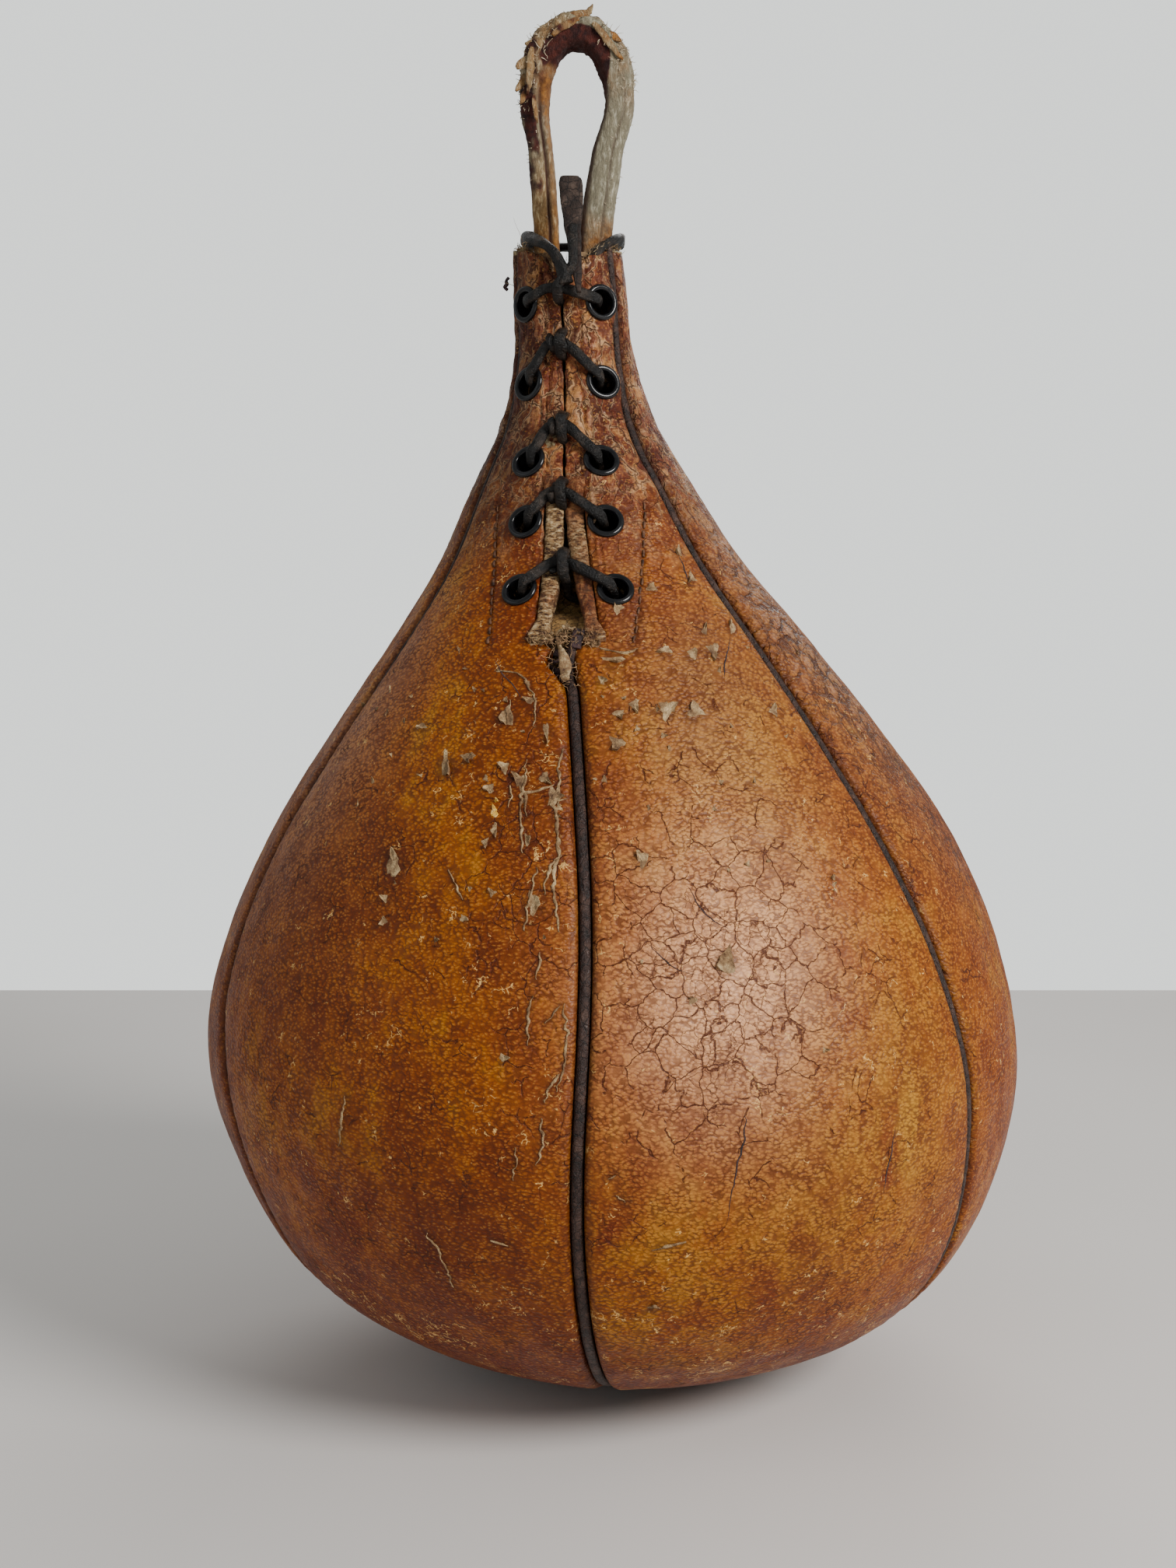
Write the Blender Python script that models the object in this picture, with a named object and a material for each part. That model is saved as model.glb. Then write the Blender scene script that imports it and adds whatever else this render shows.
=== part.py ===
"""Old leather speed bag: six sewn gores round a rubber bladder, a laced neck and a hanging loop.

The bag stands on its flattened bottom, with the laced slit facing -Y. The table is z = 0.
Lengths are in millimetres up to new_object, which makes metres of them.
"""

import math

import bmesh
import bpy
from mathutils import Vector

MM = 0.001

# ---------------------------------------------------------------- driving dimensions

# Outer profile of the filled bag at its seams, (radius, height), from the flat bottom to the mouth.
PROFILE = [
    (26, 0), (40, 5), (72, 18), (94.5, 38), (107, 64), (112, 94), (106, 124), (93.5, 152),
    (76.5, 178), (59, 202), (43, 224), (31, 246), (21.5, 264), (16.6, 282), (15.5, 298), (14.8, 311),
]
TIP_RADIUS = 13.0
SLIT_FOOT_Z = 206.0
SEAM_END_Z = 200.0

# The bag leans a little to -X as it rises: (height, centre X).
LEAN = [(0, 6), (50, 2.5), (100, -0.5), (150, -0.5), (200, -3), (250, -8.5), (311, -12.5)]

# Heights at which every sewn piece has a row of points. Eyelets sit midway between two rows.
ROW_HEIGHTS = [5, 18, 36, 56, 78, 100, 122, 144, 164, 183, 200, 206, 226.5, 243.5, 262.5, 284, 311]

# Azimuth of each seam in degrees from -Y towards +X, as (height, azimuth).
SEAMS = {
    "front": [(0, -7), (60, -6), (110, -4), (150, -4.5), (190, -7), (206, -9), (284, -9.5), (311, -8)],
    "right": [
        (0, 58), (36, 57), (78, 54), (110, 52), (150, 48), (190, 46), (240, 43), (262, 41.5), (290, 54),
        (311, 57),
    ],
    "back_right": [(0, 118), (100, 114), (200, 108), (262, 104), (290, 113), (311, 114)],
    "back": [(0, 177), (100, 174), (200, 172), (311, 173)],
    "back_left": [(0, 237), (100, 234), (200, 232), (311, 233)],
    "left": [(0, 296), (85, 296), (115, 291), (148, 289), (200, 292), (250, 296), (290, 285), (311, 283)],
}
GORES = [
    ("panel_front_right", "front", "right"),
    ("panel_right", "right", "back_right"),
    ("panel_back_right", "back_right", "back"),
    ("panel_back_left", "back", "back_left"),
    ("panel_left", "back_left", "left"),
    ("panel_front_left", "left", "front"),
]

# The lower bag is a soft hexagon with its corners on the seams.
HEXAGON_SHARE = 0.25
HEXAGON_FADE = (8, 86)

LEATHER = 2.4
SEAM_GAP = 2.0
SEAM_ALLOWANCE = 4.0
RIB_DEPTH = 4.6
RIB_END_Z = 262.0
EDGE_ROUNDING = 0.8
GAP = 0.35
SHARP_ANGLE = 40

# Half width of the laced slit: (height, distance from its middle to a panel's edge).
SLIT = [(206, 8.6), (226.5, 6.0), (243.5, 4.8), (262.5, 3.8), (284, 3.4), (311, 3.4)]
SLIT_CLEAR = 1.75
LIP_PROUD = 1.2
LIP_DEPTH = 3.0
# How far each lip stays from the slit's middle line, where that is more than SLIT_CLEAR.
LIP_CLEAR = [(206, 3.6), (212, 4.0), (218, 2.8), (226.5, 1.9), (243.5, 0), (262.5, 0), (284, 0), (310, 0)]

# Rows of eyelets, top first: height, distance from the slit's middle, rise of the lace's crossing.
EYELET_ROWS = [
    (295, 10.8, 3.2), (273.3, 10.4, 10.3), (251.6, 9.8, 9.0), (235.4, 10.6, 7.0), (217.5, 12.5, 6.2),
]
EYELET_BORE = 2.8
EYELET_BARREL = 3.2
EYELET_FLANGE = 4.8
EYELET_HOLE = 3.5
EYELET_SEGMENTS = 14
BACK_OF_EYELET = -6.0

FACING_OUT, FACING_IN = 2.9, 4.3
FACING_REACH = [(206, 20.0), (243.5, 20.0), (262.5, 15.0), (311, 15.0)]

# The tongue behind the slit: height, depth below the panels' faces, half width.
TONGUE = [
    (190, 5.2, 8), (205, 6.6, 12), (212, 9.6, 13), (226.5, 9.6, 13), (243.5, 9.6, 12), (262.5, 9.6, 12),
    (281, 9.6, 11),
]
TONGUE_THICKNESS = 1.3

LACE_RADIUS = 1.3
LACE_END_THICKNESS = 1.6
LACE_INSIDE = 7.8
LACE_OUTSIDE = -3.1
CROSSING_SHIFT = -1.2

TIE_Z = 263.0
TIE_RADIUS = 5.4
TIE_CORD = 0.9

HINGE = Vector((-11.6, 2.0, 312.0))
FOOT_RADIUS = 4.2
LOOP_SIDES = 12


# ---------------------------------------------------------------- helpers

def between(table, z):
    """Straight-line reading of a (height, value) table."""
    if z <= table[0][0]:
        return table[0][1]
    for (z0, v0), (z1, v1) in zip(table, table[1:]):
        if z <= z1:
            return v0 + (v1 - v0) * (z - z0) / (z1 - z0)
    return table[-1][1]


def spline(points, spans):
    """Catmull-Rom curve through the points, with this many spans between each two."""
    points = [Vector(p) for p in points]
    first = points[0] * 2 - points[1]
    last = points[-1] * 2 - points[-2]
    padded = [first, *points, last]
    curve = []
    for p0, p1, p2, p3 in zip(padded, padded[1:], padded[2:], padded[3:]):
        for i in range(spans):
            t = i / spans
            curve.append(
                0.5 * (2 * p1 + (p2 - p0) * t + (2 * p0 - 5 * p1 + 4 * p2 - p3) * t * t
                       + (3 * p1 - p0 - 3 * p2 + p3) * t ** 3)
            )
    return [*curve, points[-1]]


def circle(radius, z, sides):
    """A level circle about the leaning centre line."""
    turns = [2 * math.pi * i / sides for i in range(sides)]
    return [Vector((between(LEAN, z) + radius * math.cos(t), radius * math.sin(t), z)) for t in turns]


def ease(value, start, end):
    t = min(max((value - start) / (end - start), 0), 1)
    return t * t * (3 - 2 * t)


def material(name, colour, roughness, metallic=0.0):
    made = bpy.data.materials.new(name)
    made.use_nodes = True
    shader = made.node_tree.nodes["Principled BSDF"]
    shader.inputs["Base Color"].default_value = (*colour, 1)
    shader.inputs["Roughness"].default_value = roughness
    shader.inputs["Metallic"].default_value = metallic
    made.diffuse_color = (*colour, 1)
    return made


def new_object(name, verts, faces, finish):
    mesh = bpy.data.meshes.new(name)
    mesh.from_pydata([Vector(v) * MM for v in verts], [], faces)
    bm = bmesh.new()
    bm.from_mesh(mesh)
    bmesh.ops.recalc_face_normals(bm, faces=bm.faces)
    bm.to_mesh(mesh)
    bm.free()
    mesh.materials.append(finish)
    mesh.shade_smooth()
    mesh.set_sharp_from_angle(angle=math.radians(SHARP_ANGLE))
    made = bpy.data.objects.new(name, mesh)
    bpy.context.scene.collection.objects.link(made)
    return made


def loft(name, rings, finish):
    """A solid through rings of equal point count, with a fan at each end."""
    count = len(rings[0])
    verts = [p for ring in rings for p in ring]
    faces = []
    for row in range(len(rings) - 1):
        for i in range(count):
            j = (i + 1) % count
            a, b = row * count, (row + 1) * count
            faces.append((a + i, a + j, b + j, b + i))
    for row in (0, len(rings) - 1):
        middle = sum((Vector(p) for p in rings[row]), Vector()) / count
        verts.append(middle)
        hub = len(verts) - 1
        faces += [(row * count + i, row * count + (i + 1) % count, hub) for i in range(count)]
    return new_object(name, verts, faces, finish)


def shell(name, outer, inner, finish):
    """A thick sheet between two grids of points of the same size."""
    rows, columns = len(outer), len(outer[0])
    size = rows * columns
    verts = [p for row in outer for p in row] + [p for row in inner for p in row]
    faces = []
    for r in range(rows - 1):
        for c in range(columns - 1):
            a, b = r * columns + c, (r + 1) * columns + c
            faces.append((a, a + 1, b + 1, b))
            faces.append((a + size, b + size, b + 1 + size, a + 1 + size))
    rim = [(0, c) for c in range(columns)]
    rim += [(r, columns - 1) for r in range(1, rows)]
    rim += [(rows - 1, c) for c in range(columns - 2, -1, -1)]
    rim += [(r, 0) for r in range(rows - 2, 0, -1)]
    for (r0, c0), (r1, c1) in zip(rim, rim[1:] + rim[:1]):
        a, b = r0 * columns + c0, r1 * columns + c1
        faces.append((a, b, b + size, a + size))
    return new_object(name, verts, faces, finish)


def turned(name, profile, segments, place, finish):
    """A closed (radius, height) outline turned about an axis. place puts (x, y, height) in the bag."""
    verts, faces = [], []
    for i in range(segments):
        turn = 2 * math.pi * i / segments
        verts += [place(r * math.cos(turn), r * math.sin(turn), h) for r, h in profile]
    count = len(profile)
    for i in range(segments):
        a, b = i * count, (i + 1) % segments * count
        for j in range(count):
            k = (j + 1) % count
            faces.append((a + j, a + k, b + k, b + j))
    return new_object(name, verts, faces, finish)


def cord(name, points, radius, finish):
    """A round cord along the points, as a curve with a bevel and filled caps."""
    curve = bpy.data.curves.new(name, "CURVE")
    curve.dimensions = "3D"
    curve.bevel_depth = radius * MM
    curve.bevel_resolution = 2
    curve.use_fill_caps = True
    line = curve.splines.new("POLY")
    line.points.add(len(points) - 1)
    for point, place in zip(line.points, points):
        point.co = (*(Vector(place) * MM), 1)
    curve.materials.append(finish)
    made = bpy.data.objects.new(name, curve)
    bpy.context.scene.collection.objects.link(made)
    return made


# ---------------------------------------------------------------- the bag's skin

def profile_rows():
    """(radius, height) of each row, the two flat ones at the bottom first."""
    curve = spline([(r, z, 0) for r, z in PROFILE], 24)
    rows = [(TIP_RADIUS, 0.0), (PROFILE[0][0], 0.0)]
    for z in ROW_HEIGHTS:
        low, high = next((a, b) for a, b in zip(curve, curve[1:]) if a.y <= z <= b.y)
        share = (z - low.y) / (high.y - low.y)
        rows.append((low.x + (high.x - low.x) * share, float(z)))
    return rows


def row_normals(rows):
    """Outward normal of the profile at each row, long enough to keep an offset's thickness."""
    spans = []
    for (r0, z0), (r1, z1) in zip(rows, rows[1:]):
        length = math.hypot(r1 - r0, z1 - z0)
        spans.append(Vector(((z1 - z0) / length, (r0 - r1) / length)))
    spans = [spans[0], *spans, spans[-1]]
    normals = []
    for a, b in zip(spans, spans[1:]):
        middle = (a + b).normalized()
        normals.append(middle / middle.dot(a))
    return normals


ROWS = profile_rows()
NORMALS = row_normals(ROWS)


def skin(row, azimuth, share, depth):
    """Point of the skin. row is an index that may lie between rows, share runs 0 to 1 over the
    gore, and depth is measured inwards."""
    low = min(int(row), len(ROWS) - 2)
    f = row - low
    r = ROWS[low][0] * (1 - f) + ROWS[low + 1][0] * f
    z = ROWS[low][1] * (1 - f) + ROWS[low + 1][1] * f
    normal = NORMALS[low] * (1 - f) + NORMALS[low + 1] * f
    flat = HEXAGON_SHARE * (1 - ease(z, *HEXAGON_FADE))
    from_middle = math.radians((share - 0.5) * 60)
    r *= 1 - flat + flat * math.cos(math.pi / 6) / math.cos(from_middle)
    turn = math.radians(azimuth)
    out = r - depth * normal.x
    return Vector((between(LEAN, z) + out * math.sin(turn), -out * math.cos(turn), z - depth * normal.y))


def row_at(z):
    """The row index, with its fraction, at a height above the flat bottom."""
    for i in range(1, len(ROWS) - 1):
        if z <= ROWS[i + 1][1]:
            return i + (z - ROWS[i][1]) / (ROWS[i + 1][1] - ROWS[i][1])
    return float(len(ROWS) - 1)


def radius_at(row):
    low = min(int(row), len(ROWS) - 2)
    return ROWS[low][0] + (ROWS[low + 1][0] - ROWS[low][0]) * (row - low)


def at_slit(x, z, depth):
    """Point x millimetres along the skin from the slit's middle line, at height z."""
    row = row_at(z)
    azimuth = between(SEAMS["front"], z) + math.degrees(x / radius_at(row))
    return skin(row, azimuth, 0.0, depth)


# ---------------------------------------------------------------- pieces

def on_slit(seam, z):
    return seam == "front" and z >= SLIT_FOOT_Z


def edge_gap(seam, z):
    """Distance from a seam's middle line to the edge of the panel beside it."""
    return between(SLIT, z) if on_slit(seam, z) else SEAM_GAP


def edge_depth(seam, z):
    """How deep the turned edge of a panel reaches. Beside the slit and in the neck it is cut away."""
    return LEATHER if on_slit(seam, z) or z >= RIB_END_Z else RIB_DEPTH


def panel(name, seam_a, seam_b, finish):
    """One gore: its edges turn inwards as seam allowances and leave room for the welts."""
    outer, inner = [], []
    for index, (r, z) in enumerate(ROWS):
        start, end = between(SEAMS[seam_a], z), between(SEAMS[seam_b], z)
        span = (end - start) % 360
        to_degrees = math.degrees(1 / r)
        low, high = edge_gap(seam_a, z) * to_degrees, span - edge_gap(seam_b, z) * to_degrees
        turned_in = SEAM_ALLOWANCE * to_degrees
        edge_a, edge_b = edge_depth(seam_a, z), edge_depth(seam_b, z)
        columns = [(low, EDGE_ROUNDING, edge_a), (low + 0.3 * turned_in, 0, edge_a)]
        for i in range(5):
            columns.append((low + turned_in + (high - low - 2 * turned_in) * i / 4, 0, LEATHER))
        columns += [(high - 0.3 * turned_in, 0, edge_b), (high, EDGE_ROUNDING, edge_b)]
        outer.append([skin(index, start + a, a / span, out) for a, out, deep in columns])
        inner.append([skin(index, start + a, a / span, deep) for a, out, deep in columns])
    return shell(name, outer, inner, finish)


def welt(seam, finish):
    """The leather strip in a seam, its rounded edge just below the panels' faces."""
    half, out = SEAM_GAP - GAP, 0.5
    top = [(-half, out + 0.8), (-0.5 * half, out), (0.5 * half, out), (half, out + 0.8)]
    rings = []
    for index, (r, z) in enumerate(ROWS):
        if seam == "front" and z > SEAM_END_Z:
            break
        deep = edge_depth(seam, z) - 0.2
        section = [*top, (half, deep), (-half, deep)]
        azimuth = between(SEAMS[seam], z)
        rings.append([skin(index, azimuth + math.degrees(x / r), 0.0, d) for x, d in section])
    return loft(f"welt_{seam}", rings, finish)


def lip(name, side, finish):
    """The rolled edge of the slit on one side. side is -1 left or 1 right."""
    rings = []
    for z, clear in LIP_CLEAR:
        near = max(clear, SLIT_CLEAR)
        far = between(SLIT, z) - GAP
        quarter = (far - near) / 4
        section = [
            (near, 0.6), (near + quarter, -LIP_PROUD), (far - quarter, -LIP_PROUD), (far, -0.2),
            (far, LEATHER), (far - quarter, LIP_DEPTH), (near + quarter, LIP_DEPTH), (near, LEATHER),
        ]
        rings.append([at_slit(side * x, z, d) for x, d in section])
    return loft(name, rings, finish)


def facing(name, side, finish):
    """The reinforcement inside one side of the slit, which the eyelets clamp to the panel."""
    outer, inner = [], []
    for z in [206, 226.5, 243.5, 262.5, 284, 309]:
        near = between(SLIT, z) + 0.2
        reach = between(FACING_REACH, z)
        columns = [side * (near + (reach - near) * i / 6) for i in range(7)]
        outer.append([at_slit(x, z, FACING_OUT) for x in columns])
        inner.append([at_slit(x, z, FACING_IN) for x in columns])
    return shell(name, outer, inner, finish)


def tongue(finish):
    """The flap behind the slit, sewn in below it and free above."""
    outer, inner = [], []
    for z, depth, half in TONGUE:
        columns = [half * i / 3 for i in range(-3, 4)]
        outer.append([at_slit(x, z, depth) for x in columns])
        inner.append([at_slit(x, z, depth + TONGUE_THICKNESS) for x in columns])
    return shell("tongue", outer, inner, finish)


def skin_frame(x, z):
    """Centre, and the directions across, up and out of the skin at a place beside the slit."""
    centre = at_slit(x, z, 0)
    across = (at_slit(x + 0.5, z, 0) - at_slit(x - 0.5, z, 0)).normalized()
    up = (at_slit(x, z + 0.5, 0) - at_slit(x, z - 0.5, 0)).normalized()
    out = across.cross(up).normalized()
    return centre, across, out.cross(across), out


def eyelet(name, x, z, finish):
    """Rolled rim outside, a barrel through panel and facing, and the set flange inside."""
    centre, across, up, out = skin_frame(x, z)

    def place(a, b, height):
        return centre + across * a + up * b + out * height

    outline = [
        (EYELET_BORE, BACK_OF_EYELET), (EYELET_BORE, 0.8), (3.4, 1.4), (4.2, 1.5), (EYELET_FLANGE, 1.0),
        (EYELET_FLANGE - 0.1, 0.5), (EYELET_BARREL, 0.5), (EYELET_BARREL, -5.4), (4.0, -5.4),
        (4.0, BACK_OF_EYELET),
    ]
    return turned(name, outline, EYELET_SEGMENTS, place, finish)


def punch(target, x, z):
    """Cuts the hole for one eyelet's barrel."""
    centre, across, up, out = skin_frame(x, z)
    rings = []
    for height in (-8, 3):
        turns = [2 * math.pi * i / 12 for i in range(12)]
        rings.append([
            centre + out * height + (across * math.cos(t) + up * math.sin(t)) * EYELET_HOLE for t in turns
        ])
    cutter = loft(f"cutter_{target.name}_{z:.0f}", rings, target.data.materials[0])
    cutter.hide_render = True
    cutter.display_type = "WIRE"
    cut = target.modifiers.new("eyelet hole", "BOOLEAN")
    cut.operation = "DIFFERENCE"
    cut.object = cutter


def lace_route():
    """The thong's way from the bottom row to the top, as (along the skin, height, depth).

    In each row it leaves by the left eyelet, crosses over the lips, goes in by the right one,
    comes up through the slit below its own crossing, locks over it and dives back in above."""
    route = []
    for z, c, rise in reversed(EYELET_ROWS):
        left = Vector((CROSSING_SHIFT + c, rise)).normalized()
        right = Vector((CROSSING_SHIFT - c, rise)).normalized()
        top = z + rise
        route += [(-c, z, LACE_INSIDE), (-c, z, 3.0), (-c, z, -0.6)]
        route += [(-c + left.x * s, z + left.y * s, d) for s, d in ((1.4, -2.6), (3.9, -3.3))]
        route += [(CROSSING_SHIFT - 2.6, top - 0.1 * rise, LACE_OUTSIDE), (CROSSING_SHIFT, top, LACE_OUTSIDE)]
        route += [(CROSSING_SHIFT + 2.6, top - 0.1 * rise, LACE_OUTSIDE)]
        route += [(c + right.x * s, z + right.y * s, d) for s, d in ((3.9, -3.3), (1.4, -2.6))]
        route += [(c, z, -0.6), (c, z, 3.0), (c - 0.5, z, LACE_INSIDE)]
        route += [(c / 2, z + 0.2 * rise, LACE_INSIDE), (0, top - 4.0, 6.4), (0, top - 3.7, 2.0)]
        route += [(0, top - 3.2, -2.4), (0, top, -6.2)]
        if z < EYELET_ROWS[0][0]:
            route += [(0, top + 3.4, -2.8), (0, top + 4.2, 2.0), (0, top + 4.6, 6.4)]
    return route


def lace(finish):
    """The one thong, whose last stretch runs up over the mouth towards its free end."""
    over_mouth = [(-11.2, -20.2, 303.0), (-10.9, -18.9, 308.0), (-10.9, -17.2, 312.3)]
    points = [at_slit(*place) for place in lace_route()]
    return cord("lace", [*points, *over_mouth], LACE_RADIUS, finish)


def lace_end(finish):
    """The thong's flat free end, which stands in front of the loop."""
    stations = [
        (313.4, -16.6, -10.9, 1.4), (316.5, -15.0, -11.0, 1.8), (322, -12.8, -11.1, 2.5),
        (328, -11.4, -11.3, 3.0), (331, -11.0, -11.4, 2.7),
    ]
    half = LACE_END_THICKNESS / 2
    rings = []
    for z, y, x, wide in stations:
        inset = 0.7 * wide
        section = [(-wide, 0), (-inset, -half), (inset, -half), (wide, 0), (inset, half), (-inset, half)]
        rings.append([(x + a, y + b, z) for a, b in section])
    return loft("lace_end", rings, finish)


def collar_thong(finish):
    """The turn of thong round the foot of the loop, from the top crossing into the mouth."""
    route = [
        (-14.8, -18.3, 302.5), (-15.6, -18.2, 306.5), (-18.0, -15.6, 312.6), (-21.2, -10.0, 314.6),
        (-23.8, -3.0, 315.6), (-24.2, 4.4, 316), (-19.8, 10.6, 316), (-12.0, 11.8, 316),
        (-4.0, 10.6, 316), (1.2, 5.4, 315.8), (1.2, -1.5, 315.2), (-2.4, -6.0, 314.0),
        (-5.6, -7.0, 311.5), (-7.2, -6.6, 307.5),
    ]
    return cord("collar_thong", spline(route, 2), LACE_RADIUS, finish)


def strap(name, stations, finish):
    """A rolled strap. Each station is its middle, half width in its plane and half depth along Y."""
    rings = []
    middles = [Vector(s[0]) for s in stations]
    for i, (middle, wide, deep) in enumerate(stations):
        along = middles[min(i + 1, len(middles) - 1)] - middles[max(i - 1, 0)]
        along.y = 0
        side = along.cross(Vector((0, 1, 0))).normalized()
        turns = [2 * math.pi * k / LOOP_SIDES for k in range(LOOP_SIDES)]
        rings.append([
            Vector(middle) + side * wide * math.cos(t) + Vector((0, deep * math.sin(t), 0)) for t in turns
        ])
    return loft(name, rings, finish)


def hanging_loop(finish):
    """The loop above the mouth. Its feet are round about the line on which it flexes."""
    route = [
        (-18.3, 2.0, 312), (-18.6, 1.6, 320), (-19.8, 1.0, 337), (-21.4, 1.0, 349), (-20.6, 1.0, 360),
        (-16.6, 1.0, 367.3), (-10.3, 1.0, 369.9), (-3.6, 1.0, 367.0), (0.7, 1.0, 359.5), (1.6, 1.0, 349),
        (-1.6, 1.0, 337), (-4.3, 1.6, 320), (-5.0, 2.0, 312),
    ]
    curve = spline(route, 2)
    stations = []
    for i, middle in enumerate(curve):
        arch = ease(middle.z, 340, 366)
        stations.append((middle, 3.4 + 0.9 * arch, 4.3 + 0.5 * ease(middle.z, 313, 330)))
    feet = []
    for x in (route[0][0], route[-1][0]):
        foot = []
        for turn in (10, 35, 62):
            drop = FOOT_RADIUS * math.cos(math.radians(turn))
            deep = FOOT_RADIUS * math.sin(math.radians(turn))
            foot.append((Vector((x, HINGE.y, HINGE.z - drop)), 3.3, deep))
        feet.append(foot)
    return strap("hanging_loop", [*feet[0], *stations, *reversed(feet[1])], finish)


def loop_tail(side, x, finish):
    """The strap's end inside the neck, below the line on which the loop flexes."""
    stations = [(Vector((x, y, z)), 3.0, 3.6) for z, y in ((286, 3.0), (296, 2.9), (307.4, 2.4))]
    return strap(f"loop_tail_{side}", stations, finish)


def base_patch(finish):
    """A round patch inside the six tips, whose boss fills the hole between them."""
    outline = [(11.9, 0), (11.9, 5.0), (21, 5.0), (20, 6.6)]
    return loft("base_patch", [circle(r, z, 24) for r, z in outline], finish)


def bladder(finish):
    """The rubber bladder, open at its filler tube, inside the leather all round."""
    outside = [
        (30, 9.5), (60, 20.5), (82, 38), (95, 62), (101, 94), (96, 122), (83, 148), (66, 174),
        (47, 196), (31, 214), (18.5, 236), (9, 250), (4.2, 257), (4.2, 271),
    ]
    wall = 1.6
    inside = [(max(r - wall, 2.2), z + (wall if z < 30 else 0)) for r, z in outside]
    return loft("bladder", [circle(r, z, 16) for r, z in [*outside, *reversed(inside)]], finish)


def bladder_tie(finish):
    """The cord that closes the filler tube."""
    x = between(LEAN, TIE_Z)
    turns = [math.radians(60 * i) for i in range(6)]
    outline = [(TIE_RADIUS + TIE_CORD * math.cos(t), TIE_CORD * math.sin(t)) for t in turns]
    return turned("bladder_tie", outline, 16, lambda a, b, h: Vector((x + a, b, TIE_Z + h)), finish)


def build():
    for old in list(bpy.data.objects):
        bpy.data.objects.remove(old)

    panel_leather = material("panel_leather", (0.36, 0.14, 0.04), 0.45)
    welt_leather = material("welt_leather", (0.05, 0.035, 0.03), 0.6)
    lip_leather = material("lip_leather", (0.42, 0.27, 0.14), 0.8)
    facing_leather = material("facing_leather", (0.30, 0.17, 0.08), 0.85)
    tongue_leather = material("tongue_leather", (0.20, 0.13, 0.04), 0.7)
    lace_leather = material("lace_leather", (0.025, 0.02, 0.018), 0.55)
    loop_leather = material("loop_leather", (0.42, 0.34, 0.22), 0.85)
    enamel = material("black_enamel", (0.01, 0.01, 0.012), 0.2, 0.3)
    rubber = material("bladder_rubber", (0.25, 0.05, 0.03), 0.7)
    twine = material("twine", (0.5, 0.42, 0.3), 0.9)

    for name, seam_a, seam_b in GORES:
        panel(name, seam_a, seam_b, panel_leather)
    for seam in SEAMS:
        welt(seam, welt_leather)

    for side, sign in (("left", -1), ("right", 1)):
        lip(f"lip_{side}", sign, lip_leather)
        inner = facing(f"facing_{side}", sign, facing_leather)
        front = bpy.data.objects[f"panel_front_{side}"]
        for number, (z, distance, _) in enumerate(EYELET_ROWS, 1):
            punch(front, sign * distance, z)
            punch(inner, sign * distance, z)
            eyelet(f"eyelet_{side}_{number}", sign * distance, z, enamel)

    tongue(tongue_leather)
    lace(lace_leather)
    lace_end(lace_leather)
    collar_thong(lace_leather)

    loop = hanging_loop(loop_leather)
    pivot = bpy.data.objects.new("loop_pivot", None)
    pivot.location = HINGE * MM
    bpy.context.scene.collection.objects.link(pivot)
    loop.parent = pivot
    loop.matrix_parent_inverse.translation = -HINGE * MM
    loop_tail("left", -18.0, loop_leather)
    loop_tail("right", -5.6, loop_leather)

    bladder(rubber)
    bladder_tie(twine)
    base_patch(facing_leather)


build()
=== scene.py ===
"""Looks of the old leather speed bag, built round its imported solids.

Lengths are in millimetres up to new_piece, which makes metres of them. Depth is measured from the
skin inwards, and azimuth in degrees from -Y towards +X. "Along" is the distance along the skin
from the middle line of the front seam and of the slit above it.
"""

import itertools
import math

import bmesh
import bpy
import numpy as np
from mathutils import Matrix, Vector
from mathutils.bvhtree import BVHTree


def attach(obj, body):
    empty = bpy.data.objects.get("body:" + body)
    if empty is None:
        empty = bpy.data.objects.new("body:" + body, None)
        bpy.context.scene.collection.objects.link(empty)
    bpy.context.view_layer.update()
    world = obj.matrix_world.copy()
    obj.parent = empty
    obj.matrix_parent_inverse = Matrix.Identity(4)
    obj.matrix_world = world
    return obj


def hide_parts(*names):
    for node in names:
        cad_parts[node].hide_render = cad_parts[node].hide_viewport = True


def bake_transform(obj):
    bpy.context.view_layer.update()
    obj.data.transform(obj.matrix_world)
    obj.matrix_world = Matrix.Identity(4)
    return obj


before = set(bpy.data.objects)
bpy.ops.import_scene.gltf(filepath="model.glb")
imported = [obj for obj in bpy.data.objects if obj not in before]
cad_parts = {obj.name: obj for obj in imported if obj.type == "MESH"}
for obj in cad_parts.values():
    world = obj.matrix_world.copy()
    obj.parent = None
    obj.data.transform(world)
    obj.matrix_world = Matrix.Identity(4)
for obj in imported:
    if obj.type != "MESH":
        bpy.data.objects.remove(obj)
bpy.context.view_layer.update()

MM = 0.001
random = np.random.default_rng(11)

# ---------------------------------------------------------------- the CAD's driving dimensions

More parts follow.
